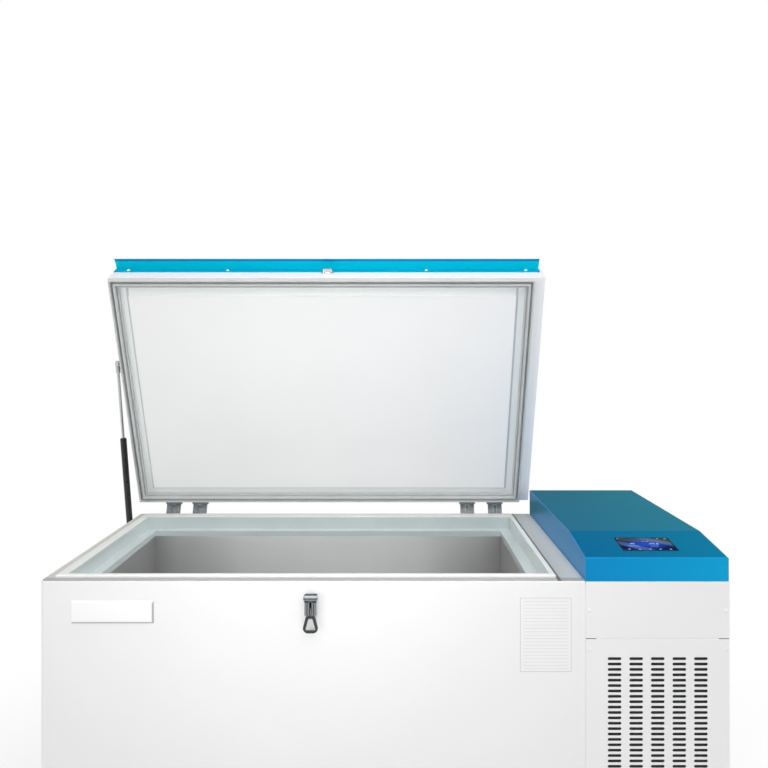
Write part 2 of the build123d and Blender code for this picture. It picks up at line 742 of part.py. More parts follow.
def latch_yoke():
    """Barrel with two sleeves below a neck, which hold the draw springs."""
    y, z = LATCH_AXIS
    half = LATCH_BARREL_L / 2
    sleeve_top = z - LATCH_BARREL_R - LATCH_EAR_GAP - 0.6
    yoke = bar((LATCH_MID - half, y, z), (LATCH_MID + half, y, z), LATCH_BARREL_R)
    neck_x = (LATCH_MID - LATCH_LEG_X - 2, LATCH_MID + LATCH_LEG_X + 2)
    yoke += block(neck_x, (y - 3, y + 3), (sleeve_top - 1, z - LATCH_BARREL_R / 2))
    places = [LATCH_MID + side * LATCH_LEG_X for side in (-1, 1)]
    for x in places:
        yoke += bar((x, y, sleeve_top), (x, y, z - LATCH_LEG_L), LATCH_SLEEVE_R)
    for x in places:
        yoke -= bar((x, y, latch_rod_top() + 1), (x, y, z - LATCH_LEG_L - 1), LATCH_ROD_R + AXLE_CLEAR)
    return yoke - bar((LATCH_MID - half - 1, y, z), (LATCH_MID + half + 1, y, z), LATCH_PIN_R + AXLE_CLEAR)


def latch_ring():
    """Flared flat ring on two rods that slide out of the yoke's sleeves."""
    y, z = LATCH_AXIS
    half = LATCH_BAR_W / 2
    top_z, end_z = z - LATCH_LEG_L - LATCH_RING_DOWN, z - LATCH_RING_END + half
    flare = LATCH_RING_W / 2 - half
    ring_plane = Plane(origin=(LATCH_MID, y, 0), x_dir=(1, 0, 0), z_dir=(0, -1, 0))
    outline = [(-LATCH_LEG_X, top_z), (LATCH_LEG_X, top_z), (flare, end_z), (-flare, end_z)]
    face = make_face(Polyline(*outline, close=True))
    outer = offset(face, half, kind=Kind.INTERSECTION)
    inner = offset(face, -half, kind=Kind.INTERSECTION)
    outer = fillet(outer.vertices().sort_by(Axis.Y)[-2:], LATCH_RING_R[0])
    outer = fillet(outer.vertices().sort_by(Axis.Y)[:2], LATCH_RING_R[1])
    inner = fillet(inner.vertices(), 2.0)
    ring = extrude(ring_plane * (outer - inner), amount=LATCH_BAR_T / 2, both=True)
    for side in (-1, 1):
        x = LATCH_MID + side * LATCH_LEG_X
        ring += bar((x, y, top_z), (x, y, latch_rod_top()), LATCH_ROD_R)
    return ring


# Machine section


def machine_floor():
    x = BAY_X
    y = (Y_FRONT + SHEET, Y_BACK - SHEET)
    pan = block(x, y, (BASE_Z, BASE_Z + FLOOR_LIP))
    return pan - block(shrink(x, FLOOR_T), shrink(y, FLOOR_T), (FLOOR_Z, BASE_Z + FLOOR_LIP + 1))


def machine_frame():
    """Welded angle frame: four posts on the floor pan, joined round the top."""
    leg, wall = FRAME_LEG, FRAME_WALL
    x = BAY_X
    y = (Y_FRONT + SHEET, Y_BACK - SHEET)
    z = (BASE_Z + FLOOR_LIP, TOP_Z)
    cage = block(x, y, z) - block(shrink(x, wall), shrink(y, wall), (z[0] - 1, z[1] - wall))
    cage -= block(shrink(x, leg), shrink(y, leg), (z[0] - 1, z[1] + 1))
    cage -= block(shrink(x, leg), shrink(y, -1), (z[0] - 1, z[1] - leg))
    return cage - block(shrink(x, -1), shrink(y, leg), (z[0] - 1, z[1] - leg))


def slot_cutters(rows, first, y):
    """Field of round-ended air slots, as cutters through a front or back panel."""
    field = Sketch() + [
        place * SlotOverall(SLOT_L, SLOT_H)
        for place in GridLocations(SLOT_PITCH_X, SLOT_PITCH_Z, SLOT_COLUMNS, rows)
    ]
    middle = TOP_Z - first - (rows - 1) * SLOT_PITCH_Z / 2
    plane = Plane(origin=(panel_mid(), y, middle), x_dir=(1, 0, 0), z_dir=(0, -1, 0))
    return extrude(plane * field, amount=2 * SHEET, both=True)


def panel_mid():
    return (X_SEAM + SEAM_GAP + X_RIGHT) / 2


def front_panel(z0, z1):
    """Folded panel: a face with returns at its two sides."""
    x = (X_SEAM + SEAM_GAP, X_RIGHT)
    panel = block(x, (Y_FRONT, Y_FRONT + PANEL_RETURN), (z0, z1))
    panel = fillet(panel.faces().sort_by(Axis.Y)[0].edges(), 1.0)
    return panel - block(shrink(x, SHEET), (Y_FRONT + SHEET, Y_FRONT + PANEL_RETURN + 1), (z0 - 1, z1 + 1))


def upper_front_panel():
    return front_panel(TOP_Z - UPPER_PANEL_H, TOP_Z)


def front_grille_panel():
    panel = front_panel(BASE_Z, TOP_Z - UPPER_PANEL_H - PANEL_GAP)
    return panel - slot_cutters(SLOT_ROWS, SLOT_FIRST, Y_FRONT)


def right_side_panel():
    y = (Y_FRONT + PANEL_RETURN + PANEL_GAP, Y_BACK)
    return block((X_RIGHT - SHEET, X_RIGHT), y, (BASE_Z, TOP_Z))


def machine_back_panel():
    x = (X_SEAM + SEAM_GAP, X_RIGHT - SHEET)
    low = BASE_Z + ENTRY_PANEL_H + PANEL_GAP
    panel = block(x, (Y_BACK - SHEET, Y_BACK), (low, TOP_Z))
    return panel - slot_cutters(BACK_SLOT_ROWS, BACK_SLOT_FIRST, Y_BACK)


def power_entry_panel():
    """Lower back panel that holds the mains inlet and the switch."""
    x = (X_SEAM + SEAM_GAP, X_RIGHT - SHEET)
    panel = block(x, (Y_BACK - SHEET, Y_BACK), (BASE_Z, BASE_Z + ENTRY_PANEL_H))
    for up, size in ((INLET_UP, INLET), (SWITCH_UP, SWITCH)):
        middle = (X_SEAM + INLET_X, BASE_Z + up)
        panel -= entry_block(middle, size, (Y_BACK - 2 * SHEET, Y_BACK + 1), 0.0)
    return panel


def cover_profile(inset, x0, x1):
    """Cover's outline: a front band, a gentle slope and a flat top."""
    rise = (COVER_TOP_UP - COVER_FRONT_UP) / COVER_SLOPE_D
    front, back = Y_FRONT + inset, Y_BACK - inset
    ridge = Y_FRONT + COVER_SLOPE_D
    points = [
        (front, TOP_Z),
        (front, TOP_Z + COVER_FRONT_UP - inset + rise * inset),
        (ridge, TOP_Z + COVER_TOP_UP - inset),
        (back, TOP_Z + COVER_TOP_UP - inset),
        (back, TOP_Z),
    ]
    return profile_x(points, x0, x1)


def screen_plane():
    """Plane on the cover's slope, centred on the display."""
    x0, x1 = cover_span()
    y = Y_FRONT + COVER_SLOPE_D * SCREEN_PLACE
    z = TOP_Z + COVER_FRONT_UP + (COVER_TOP_UP - COVER_FRONT_UP) * SCREEN_PLACE
    rise = COVER_TOP_UP - COVER_FRONT_UP
    return Plane(origin=((x0 + x1) / 2, y, z), x_dir=(1, 0, 0), z_dir=(0, -rise, COVER_SLOPE_D))


def cover_span():
    return X_SEAM, X_RIGHT - COVER_SIDE_GAP


def machine_cover():
    x0, x1 = cover_span()
    outer = cover_profile(0.0, x0, x1)
    sharp = [e for e in outer.edges() if e.center().Z > TOP_Z + COVER_FRONT_UP / 2]
    outer = fillet(sharp, COVER_EDGE_R)
    inner = cover_profile(COVER_T, x0 + COVER_T, x1 - COVER_T)
    inner += block((x0 + COVER_T, x1 - COVER_T), (Y_FRONT + COVER_T, Y_BACK - COVER_T), (TOP_Z - 1, TOP_Z))
    window = screen_plane() * Rectangle(SCREEN_W + 2 * BEZEL_W, SCREEN_D + 2 * BEZEL_W)
    return outer - inner - extrude(window, amount=3 * COVER_T, both=True)


def display_bezel():
    plane = screen_plane()
    outer = plane * Rectangle(SCREEN_W + 2 * BEZEL_W, SCREEN_D + 2 * BEZEL_W)
    frame = extrude(outer, amount=SCREEN_PROUD) + extrude(outer, amount=-2 * COVER_T)
    return frame - extrude(plane * Rectangle(SCREEN_W, SCREEN_D), amount=3 * COVER_T, both=True)


def display_module():
    """Touch panel in the bezel, with its circuit housing below the cover."""
    plane = screen_plane()
    glass = extrude(plane.offset(SCREEN_PROUD / 2) * Rectangle(SCREEN_W, SCREEN_D), amount=-SCREEN_T)
    below = plane.offset(SCREEN_PROUD / 2 - SCREEN_T)
    housing = extrude(below * Rectangle(SCREEN_W - 6, SCREEN_D - 6), amount=-DISPLAY_DEEP)
    return glass + housing


# Refrigeration


def compressor(y):
    """Hermetic can with a domed lid on a mounting plate, and its two stubs."""
    foot_z = FLOOR_Z + GROMMET_H
    middle = (BAY_MID, Y_FRONT + y)
    can = Pos(*middle, foot_z + COMP_H / 2) * Cylinder(COMP_R, COMP_H)
    can = fillet(can.edges().filter_by(GeomType.CIRCLE), COMP_R * 0.42)
    seam = Pos(*middle, foot_z + COMP_H * 0.55) * Cylinder(COMP_R + COMP_SEAM, COMP_SEAM_H)
    plate = Pos(*middle, foot_z + COMP_PLATE_T / 2) * Box(*COMP_FOOT, COMP_PLATE_T)
    terminal = Pos(middle[0] + COMP_R, middle[1], foot_z + COMP_H * 0.72) * Box(*COMP_TERMINAL)
    return can + seam + plate + terminal


def grommets(y):
    """Rubber mounts under one compressor's plate."""
    places = GridLocations(COMP_FOOT[0] - 30, COMP_FOOT[1] - 30, 2, 2)
    middle = Pos(BAY_MID, Y_FRONT + y, FLOOR_Z + GROMMET_H / 2)
    return [middle * place * Cylinder(GROMMET_R, GROMMET_H) for place in places]


def condenser_limits():
    y = Y_FRONT + SHEET + COND_GAP
    z = FLOOR_Z
    return (BAY_MID - COND_W / 2, BAY_MID + COND_W / 2), (y, y + COND_D), (z, z + COND_H)


def condenser():
    """Fin pack between two end plates."""
    x, y, z = condenser_limits()
    pack = block(x, shrink(y, FIN_BACK), z)
    pitch = (COND_W - 2 * FIN_MARGIN) / FIN_COUNT
    grooves = GridLocations(pitch, 0, FIN_COUNT, 1)
    middle = Pos(BAY_MID, y[0] + FIN_BACK, (z[0] + z[1]) / 2)
    cutter = Box(FIN_GROOVE, 2 * FIN_GROOVE, COND_H - 2 * FIN_MARGIN)
    pack -= [middle * place * cutter for place in grooves]
    for x0 in (x[0] - COND_PLATE_T, x[1]):
        pack += block((x0, x0 + COND_PLATE_T), y, z)
    return pack


def fan_mid():
    _, y, z = condenser_limits()
    return BAY_MID, y[1] + SHROUD_D * 0.62, (z[0] + z[1]) / 2


def fan_shroud():
    """Duct from the condenser to a round throat, with the motor's three arms."""
    x, y, z = condenser_limits()
    y0, y1 = y[1], y[1] + SHROUD_D
    box = block(x, (y0, y1), z)
    hollow = block(shrink(x, SHROUD_T), (y0 - 1, y1 - SHROUD_T), shrink(z, SHROUD_T))
    mid_x, _, mid_z = fan_mid()
    rim_r = FAN_R + FAN_TIP_GAP + FAN_RIM_T
    rim_y = y1 + FAN_THROAT
    throat = bar((mid_x, y1 - FAN_THROAT, mid_z), (mid_x, rim_y, mid_z), rim_r)
    opening = bar((mid_x, y0 - 1, mid_z), (mid_x, rim_y + 1, mid_z), FAN_R + FAN_TIP_GAP)
    shroud = box - hollow + throat - opening
    for turn in (90, 210, 330):
        arm = Box(rim_r, ARM_T, MOTOR_ARM_W)
        place = Pos(mid_x, rim_y + ARM_T / 2, mid_z) * Rot(0, turn, 0) * Pos(rim_r / 2, 0, 0)
        shroud += place * arm
    return shroud - bar((mid_x, y1, mid_z), (mid_x, rim_y + 2 * ARM_T, mid_z), MOTOR_SHAFT_R + 1)


def fan_motor():
    _, y, _ = condenser_limits()
    mid_x, fan_y, mid_z = fan_mid()
    front = y[1] + SHROUD_D + FAN_THROAT + ARM_T
    case = bar((mid_x, front, mid_z), (mid_x, front + MOTOR_L, mid_z), MOTOR_R)
    case = fillet(case.edges().filter_by(GeomType.CIRCLE), 5)
    shaft = bar((mid_x, front + 5, mid_z), (mid_x, fan_y - FAN_HUB_L / 4, mid_z), MOTOR_SHAFT_R)
    return case + shaft


def fan_blades():
    """Hub with pitched blades, trimmed to the fan's sweep."""
    mid_x, y, mid_z = fan_mid()
    centre = Pos(mid_x, y, mid_z) * Rot(90, 0, 0)
    hub = Cylinder(FAN_HUB_R, FAN_HUB_L)
    ring = Cylinder(FAN_R, 2 * FAN_HUB_L) - Cylinder(FAN_HUB_R - 1, 3 * FAN_HUB_L)
    fan = hub
    for number in range(FAN_BLADES):
        blade = Rot(FAN_PITCH, 0, 0) * Box(FAN_R - FAN_HUB_R + FAN_ROOT, FAN_BLADE_W, FAN_BLADE_T)
        placed = Rot(0, 0, number * 360 / FAN_BLADES) * Pos((FAN_R + FAN_HUB_R) / 2, 0, 0) * blade
        fan += placed & ring
    shaft_hole = Cylinder(MOTOR_SHAFT_R + AXLE_CLEAR, 2 * FAN_HUB_L)
    return centre * (fan - shaft_hole)


def tank_place():
    return X_SEAM + SEAM_GAP + BAY_CLEAR + TANK_R, Y_BACK - VESSEL_BACK - TANK_R


def exchanger_place():
    return X_RIGHT - SHEET - BAY_CLEAR - EXCHANGER_R, Y_BACK - VESSEL_BACK - EXCHANGER_R


def domed_can(radius, height):
    can = Cylinder(radius, height)
    return fillet(can.edges().filter_by(GeomType.CIRCLE), radius * 0.5)


def domed_vessel(place, radius, height):
    """Upright vessel with domed ends on a ring stand."""
    ring_r = radius * 0.8
    ring = Cylinder(ring_r, VESSEL_STAND_H) - Cylinder(ring_r - VESSEL_STAND_T, 2 * VESSEL_STAND_H)
    stand = Pos(*place, FLOOR_Z + VESSEL_STAND_H / 2) * ring
    middle = Pos(*place, FLOOR_Z + VESSEL_LIFT + height / 2)
    body = domed_can(radius, height) - domed_can(radius - VESSEL_T, height - 2 * VESSEL_T)
    return middle * body + (stand - middle * domed_can(radius - VESSEL_T, height - 2 * VESSEL_T))


def heat_exchanger():
    return domed_vessel(exchanger_place(), EXCHANGER_R, EXCHANGER_H)


def expansion_tank():
    return domed_vessel(tank_place(), TANK_R, TANK_H)


def control_box():
    """Steel box on the partition, for the relays and the power supply."""
    x0 = X_SEAM
    width, depth, height = CONTROL_BOX
    y0 = Y_FRONT + COMP_FRONT_Y - 40
    z1 = TOP_Z - CONTROL_DOWN
    case_x = x0 + CONTROL_OFF
    z = (z1 - height, z1)
    case = block((case_x, case_x + width), (y0, y0 + depth), z)
    case = fillet(case.edges().filter_by(Axis.Y), 3)
    tab_places = (y0 + CONTROL_TAB_W / 2, y0 + depth - CONTROL_TAB_W * 1.5)
    return case + [block((x0, case_x), (y, y + CONTROL_TAB_W), z) for y in tab_places]


def drier_line():
    """X and Z of the driers' common axis."""
    return X_SEAM + SEAM_GAP + DRIER_R + DRIER_OFF, FLOOR_Z + GROMMET_H + COMP_H + DRIER_UP


def filter_driers():
    """Copper filter driers, one for each stage, clipped to the partition."""
    driers = []
    x, z = drier_line()
    for y in (Y_FRONT + COMP_FRONT_Y, Y_FRONT + COMP_BACK_Y):
        body = bar((x, y - DRIER_L / 2, z), (x, y + DRIER_L / 2, z), DRIER_R)
        body = fillet(body.edges().filter_by(GeomType.CIRCLE), DRIER_R * 0.6)
        clip = block((X_SEAM, x), (y - 8, y + 8), (z - 3, z + 3))
        driers.append(body + clip)
    return driers


def refrigerant_tubes():
    """Copper tubes between the compressors, the condenser, the driers and the exchanger."""
    cond_x, cond_y, cond_z = condenser_limits()
    comp_top = FLOOR_Z + GROMMET_H + COMP_H
    front, back = Y_FRONT + COMP_FRONT_Y, Y_FRONT + COMP_BACK_Y
    port_x = BAY_MID + COMP_R * 0.3
    inlet_x, inlet_y = cond_x[1] - 40, sum(cond_y) / 2
    cross_z = max(cond_z[1], comp_top) + TUBE_RISE
    discharge = [
        (port_x, front, comp_top),
        (port_x, front, cross_z),
        (inlet_x, inlet_y, cross_z),
        (inlet_x, inlet_y, cond_z[1]),
    ]
    drier_x, drier_z = drier_line()
    liquid = [(drier_x, front + DRIER_L / 2, drier_z), (drier_x, back - DRIER_L / 2, drier_z)]
    ex_x, ex_y = exchanger_place()
    ex_top = FLOOR_Z + VESSEL_LIFT + EXCHANGER_H
    suction = [
        (port_x, back, comp_top),
        (port_x, back, ex_top + TUBE_RISE),
        (ex_x, ex_y, ex_top + TUBE_RISE),
        (ex_x, ex_y, ex_top),
    ]
    return [
        tube_path(discharge, TUBE_R, TUBE_BEND),
        bar(*liquid, TUBE_R),
        tube_path(suction, TUBE_R, TUBE_BEND),
    ]


# Power entry


def entry_block(middle, size, y, grow):
    half_w, half_h = size[0] / 2 + grow, size[1] / 2 + grow
    x, z = middle
    return block((x - half_w, x + half_w), y, (z - half_h, z + half_h))


def power_inlet():
    """Recessed mains inlet with three blades."""
    middle = (X_SEAM + INLET_X, BASE_Z + INLET_UP)
    body = entry_block(middle, INLET, (Y_BACK - INLET[2], Y_BACK), 0.0)
    flange = entry_block(middle, INLET, (Y_BACK, Y_BACK + FLANGE_T), 3.0)
    recess = entry_block(middle, SOCKET, (Y_BACK + FLANGE_T - SOCKET[2], Y_BACK + FLANGE_T + 1), 0.0)
    inlet = body + flange - recess
    for dx, dz in ((-7, 4), (7, 4), (0, 0)):
        blade_mid = (middle[0] + dx, middle[1] - 4 + dz)
        size = (BLADE[1], BLADE[0])
        inlet += entry_block(blade_mid, size, (Y_BACK - SOCKET[2], Y_BACK - 2), 0.0)
    return inlet


def switch_axis():
    return Y_BACK - 4.0, BASE_Z + SWITCH_UP


def power_switch():
    middle = (X_SEAM + INLET_X, BASE_Z + SWITCH_UP)
    body = entry_block(middle, SWITCH, (Y_BACK - SWITCH[2], Y_BACK), 0.0)
    flange = entry_block(middle, SWITCH, (Y_BACK, Y_BACK + FLANGE_T), 2.0)
    well = entry_block(middle, SWITCH, (Y_BACK - SWITCH[2] + 3, Y_BACK + FLANGE_T + 1), -2.0)
    y, z = switch_axis()
    case = body + flange - well
    pin_x = (middle[0] - SWITCH[0] / 2 + 1, middle[0] + SWITCH[0] / 2 - 1)
    return case + bar((pin_x[0], y, z), (pin_x[1], y, z), 1.5)


def switch_rocker():
    """Rocker with a shallow vee face, tilted to its off side."""
    middle_x = X_SEAM + INLET_X
    y, z = switch_axis()
    half_h = SWITCH[1] / 2 - 3.2
    dip = half_h * sin(radians(ROCKER_ANGLE / 2))
    lower = [(-5, -3), (-3, -half_h * 0.75), (5 + dip, -half_h)]
    upper = [(5 + dip, half_h), (-3, half_h * 0.75), (-5, 3)]
    outline = [*lower, (5, 0), *upper]
    half_w = SWITCH[0] / 2 - 2.3
    face = make_face(Polyline(*outline, close=True))
    rocker = extrude(Plane.YZ.offset(-half_w) * face, amount=2 * half_w, dir=(1, 0, 0))
    rocker -= Rot(0, 90, 0) * Cylinder(1.5 + AXLE_CLEAR, SWITCH[0])
    return Pos(middle_x, y, z) * Rot(ROCKER_ANGLE / 2, 0, 0) * rocker


# Base frame, casters and feet


def rail_y(back):
    if back:
        return Y_BACK - RAIL_INSET - RAIL_W, Y_BACK - RAIL_INSET
    return Y_FRONT + RAIL_INSET, Y_FRONT + RAIL_INSET + RAIL_W


def channel(x, y, z, along_x):
    """Channel with its open side up, running along X or along Y."""
    solid = block(x, y, z)
    if along_x:
        return solid - block(shrink(x, -1), shrink(y, RAIL_T), (z[0] + RAIL_T, z[1] + 1))
    return solid - block(shrink(x, RAIL_T), shrink(y, -1), (z[0] + RAIL_T, z[1] + 1))


def base_frame():
    """Front and back rails and three cross channels, with holes for the feet's stems."""
    x = (X_LEFT + RAIL_INSET, X_RIGHT - RAIL_INSET)
    rails = [channel(x, rail_y(back), (CASTER_H, BASE_Z), True) for back in (False, True)]
    for foot_x, foot_y in foot_places():
        hole = bar((foot_x, foot_y, CASTER_H - 1), (foot_x, foot_y, RAIL_Z + 1), FOOT_STEM_R + 0.2)
        rails[0] -= hole
    y = (rail_y(False)[1], rail_y(True)[0])
    half = CROSS_W / 2
    middles = (x[0] + half, X_SEAM, x[1] - half)
    return rails + [channel((m - half, m + half), y, (CASTER_H, BASE_Z), False) for m in middles]


def caster_places():
    """Kingpin centres: front left, front right, back left, back right."""
    xs = (X_LEFT + CASTER_INSET, X_RIGHT - CASTER_INSET)
    return [(x, sum(rail_y(back)) / 2) for back in (False, True) for x in xs]


def foot_places():
    y = sum(rail_y(False)) / 2
    return [(X_LEFT + CASTER_INSET + FOOT_OFFSET, y), (X_RIGHT - CASTER_INSET - FOOT_OFFSET, y)]


def caster_mount(place):
    """Top plate with the swivel's cup and kingpin."""
    x, y = place
    plate = Pos(x, y, CASTER_H - CASTER_PLATE_T / 2) * Box(*CASTER_PLATE, CASTER_PLATE_T)
    cup_low = CASTER_H - CASTER_PLATE_T - CASTER_CUP_H
    cup = bar((x, y, cup_low), (x, y, CASTER_H - CASTER_PLATE_T), CASTER_CUP_R)
    pin_low = cup_low - 2 * CASTER_GAP - FORK_T
    pin = bar((x, y, pin_low - 2), (x, y, cup_low + 1), KINGPIN_R)
    head = bar((x, y, pin_low - 2), (x, y, pin_low), KINGPIN_R + 3)
    return plate + cup + pin + head


def fork_top():
    return CASTER_H - CASTER_PLATE_T - CASTER_CUP_H - CASTER_GAP


def caster_fork(place):
    """Crown plate on the kingpin and two cheeks that hold the axle, trailing to the back."""
    x, y = place
    top = fork_top()
    half = WHEEL_W / 2 + FORK_GAP
    wheel_y = y + CASTER_TRAIL
    crown_y = (y - CASTER_CUP_R, y + CASTER_CUP_R)
    fork = block((x - half - FORK_T, x + half + FORK_T), crown_y, (top - FORK_T, top))
    for side in (-1, 1):
        x0, x1 = sorted((x + side * half, x + side * (half + FORK_T)))
        outline = [
            (crown_y[0], top), (crown_y[1], top), (wheel_y + 14, WHEEL_R),
            (wheel_y + 8, WHEEL_R - 11), (wheel_y - 8, WHEEL_R - 11), (wheel_y - 16, WHEEL_R + 6),
            (crown_y[0], top - 14),
        ]
        fork += profile_x(outline, x0, x1)
    axle = bar((x - half - FORK_T - 4, wheel_y, WHEEL_R), (x + half + FORK_T + 4, wheel_y, WHEEL_R), AXLE_R)
    bore = bar((x, y, top - FORK_T - 1), (x, y, top + 1), KINGPIN_R + AXLE_CLEAR)
    return fork - bore + axle


def caster_wheel(place):
    """Tyre and hub, with recessed faces and a running bore."""
    x, y = place
    wheel_y = y + CASTER_TRAIL
    half = WHEEL_W / 2
    hub_end = -half - FORK_GAP / 2
    hub = [(AXLE_R + AXLE_CLEAR, hub_end), (AXLE_R + 6, hub_end), (AXLE_R + 6, -half + 5)]
    tyre = [(WHEEL_R - 8, -half), (WHEEL_R - TYRE_EDGE, -half), (WHEEL_R, -half + TYRE_EDGE)]
    profile = [*hub, (WHEEL_R - 10, -half + 5), *tyre]
    mirrored = [(r, -w) for r, w in reversed(profile)]
    face = make_face(Polyline(*profile, *mirrored, close=True))
    wheel = revolve(Plane.XZ * face, Axis.Z)
    return Pos(x, wheel_y, WHEEL_R) * Rot(0, 90, 0) * wheel


def levelling_foot(place):
    x, y = place
    pad = bar((x, y, 0), (x, y, FOOT_H), FOOT_R)
    pad = chamfer(pad.faces().sort_by(Axis.Z)[-1].edges(), FOOT_H * 0.6, FOOT_H * 0.5)
    stem = bar((x, y, FOOT_H - 1), (x, y, BASE_Z - 4), FOOT_STEM_R)
    nuts = [
        extrude(Plane(origin=(x, y, z)) * RegularPolygon(FOOT_STEM_R * 1.8, 6), amount=8)
        for z in (CASTER_H - 8, RAIL_Z)
    ]
    return pad + stem + nuts


PIECES = {
    "cabinet_wrap": cabinet_wrap(),
    "cabinet_back_panel": cabinet_back_panel(),
    "cabinet_bottom_pan": cabinet_bottom_pan(),
    "cabinet_foam": cabinet_foam(),
    "inner_liner": inner_liner(),
    "throat_collar": throat_collar(),
    "rim_frame": rim_frame(),
    "rim_seal": rim_seal(),
    "evaporator_coil": evaporator_coil(),
    "lid_shell": open_lid(lid_shell()),
    "lid_foam": open_lid(lid_foam()),
    "lid_inner_panel": open_lid(lid_inner_panel()),
    "lid_gasket": open_lid(lid_gasket()),
    "lid_handle_trim": open_lid(handle_trim()),
    "lid_catch": open_lid(lid_catch()),
    "hinge_lower_leaves": [lower_leaf(x) for x in HINGE_X] + [hinge_pin(x) for x in HINGE_X],
    "hinge_upper_leaves": [open_lid(upper_leaf(x)) for x in HINGE_X],
    "gas_spring_cylinder": spring_cylinder(),
    "gas_spring_rod": spring_rod(),
    "gas_spring_cabinet_stud": cabinet_stud(),
    "gas_spring_lid_stud": open_lid(lid_stud()),
    "latch_base": latch_base(),
    "latch_yoke": latch_yoke(),
    "latch_ring": latch_ring(),
    "machine_floor": machine_floor(),
    "machine_frame": machine_frame(),
    "upper_front_panel": upper_front_panel(),
    "front_grille_panel": front_grille_panel(),
    "right_side_panel": right_side_panel(),
    "machine_back_panel": machine_back_panel(),
    "power_entry_panel": power_entry_panel(),
    "machine_cover": machine_cover(),
    "display_bezel": display_bezel(),
    "display_module": display_module(),
    "compressor_high_stage": compressor(COMP_FRONT_Y),
    "compressor_low_stage": compressor(COMP_BACK_Y),
    "compressor_grommets": grommets(COMP_FRONT_Y) + grommets(COMP_BACK_Y),
    "condenser": condenser(),
    "fan_shroud": fan_shroud(),
    "fan_motor": fan_motor(),
    "fan_blades": fan_blades(),
    "heat_exchanger": heat_exchanger(),
    "expansion_tank": expansion_tank(),
    "filter_driers": filter_driers(),
    "refrigerant_tubes": refrigerant_tubes(),
    "control_box": control_box(),
    "power_inlet": power_inlet(),
    "power_switch": power_switch(),
    "power_switch_rocker": switch_rocker(),
    "base_frame": base_frame(),
    "levelling_feet": [levelling_foot(place) for place in foot_places()],
    "caster_mounts": [caster_mount(place) for place in caster_places()],
}
for corner, place in zip(("front_left", "front_right", "back_left", "back_right"), caster_places()):
    PIECES["caster_fork_" + corner] = caster_fork(place)
    PIECES["caster_wheel_" + corner] = caster_wheel(place)

for name, piece in PIECES.items():
    solids = piece if isinstance(piece, list) else [piece]
    whole = Compound(children=[s for part in solids for s in part.solids()])
    whole.label = name
    export_step(whole, "parts/" + name + ".step")
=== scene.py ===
"""Finishes and fittings of an ultra low temperature chest freezer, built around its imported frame."""

import json
import math

import bmesh
import bpy
from mathutils import Matrix, Vector


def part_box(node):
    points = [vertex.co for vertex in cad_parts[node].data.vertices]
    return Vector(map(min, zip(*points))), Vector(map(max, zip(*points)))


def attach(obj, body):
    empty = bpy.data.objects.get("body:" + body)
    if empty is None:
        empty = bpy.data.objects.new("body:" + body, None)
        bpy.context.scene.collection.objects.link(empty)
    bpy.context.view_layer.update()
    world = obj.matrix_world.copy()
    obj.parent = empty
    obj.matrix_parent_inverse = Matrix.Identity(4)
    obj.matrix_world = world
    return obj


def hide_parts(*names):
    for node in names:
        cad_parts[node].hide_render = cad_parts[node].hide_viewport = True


bl_info = {
    "name": "Chest Freezer Finishes",
    "version": (1, 0, 0),
    "blender": (4, 5, 0),
    "location": "View3D > Sidebar > Freezer",
    "description": "Builds the finishes, seals, fasteners and display of a chest freezer around its frame",
    "category": "Object",
}

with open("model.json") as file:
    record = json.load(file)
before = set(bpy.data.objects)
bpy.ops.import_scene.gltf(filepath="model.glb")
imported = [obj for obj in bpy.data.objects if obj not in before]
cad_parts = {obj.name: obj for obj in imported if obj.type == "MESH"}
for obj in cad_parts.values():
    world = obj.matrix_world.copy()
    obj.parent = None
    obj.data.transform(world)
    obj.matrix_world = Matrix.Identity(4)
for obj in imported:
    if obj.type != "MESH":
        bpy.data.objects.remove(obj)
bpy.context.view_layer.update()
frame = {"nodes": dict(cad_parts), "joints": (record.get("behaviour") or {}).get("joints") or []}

MM = 0.001


def joint(name):
    """The frame's joint of that name."""
    return next(j for j in frame["joints"] if j["name"] == name)


# Places read from the frame, in metres
WRAP_LOW, WRAP_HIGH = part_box("cabinet_wrap")
X_LEFT, X_SEAM = WRAP_LOW.x, WRAP_HIGH.x
Y_FRONT, Y_BACK = WRAP_LOW.y, WRAP_HIGH.y
TOP_Z, BASE_Z = WRAP_HIGH.z, WRAP_LOW.z
X_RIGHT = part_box("right_side_panel")[1].x
COVER_LOW, COVER_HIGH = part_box("machine_cover")
SCREEN_LOW, SCREEN_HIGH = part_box("display_bezel")
HINGE = Vector(joint("lid_hinge")["pos_m"])
LID_TURN = math.radians(joint("lid_hinge")["range_deg"][0])
LATCH = Vector(joint("latch_swing")["pos_m"])

# The machine cover's slope: its front edge above the cabinet's top, then its rise towards the back
COVER_FRONT_UP = 51.6 * MM
SLOPE_RISE, SLOPE_RUN = 21.2 * MM, 165.0 * MM
SLOPE_TILT = math.atan(SLOPE_RISE / SLOPE_RUN)

# From the gas spring's lower stud to its tube's mouth: the eye, the shank and the tube
MOUTH_REACH = (8.5 + 14.0 + 352.0) * MM

# Side of the square picture that the camera's shift is counted on, in pixels
PICTURE_SIDE = 768

# Turns the closed lid, which its fittings are drawn on, to the open stop
OPEN_LID = (
    Matrix.Translation(Vector((0, HINGE.y, HINGE.z)))
    @ Matrix.Rotation(LID_TURN, 4, "X")
    @ Matrix.Translation(Vector((0, -HINGE.y, -HINGE.z)))
)


def shut_box(node):
    """Lowest and highest corner of a lid's node with the lid closed."""
    shut = OPEN_LID.inverted()
    points = [shut @ v.co for v in frame["nodes"][node].data.vertices]
    low = Vector((min(p[i] for p in points) for i in range(3)))
    high = Vector((max(p[i] for p in points) for i in range(3)))
    return low, high


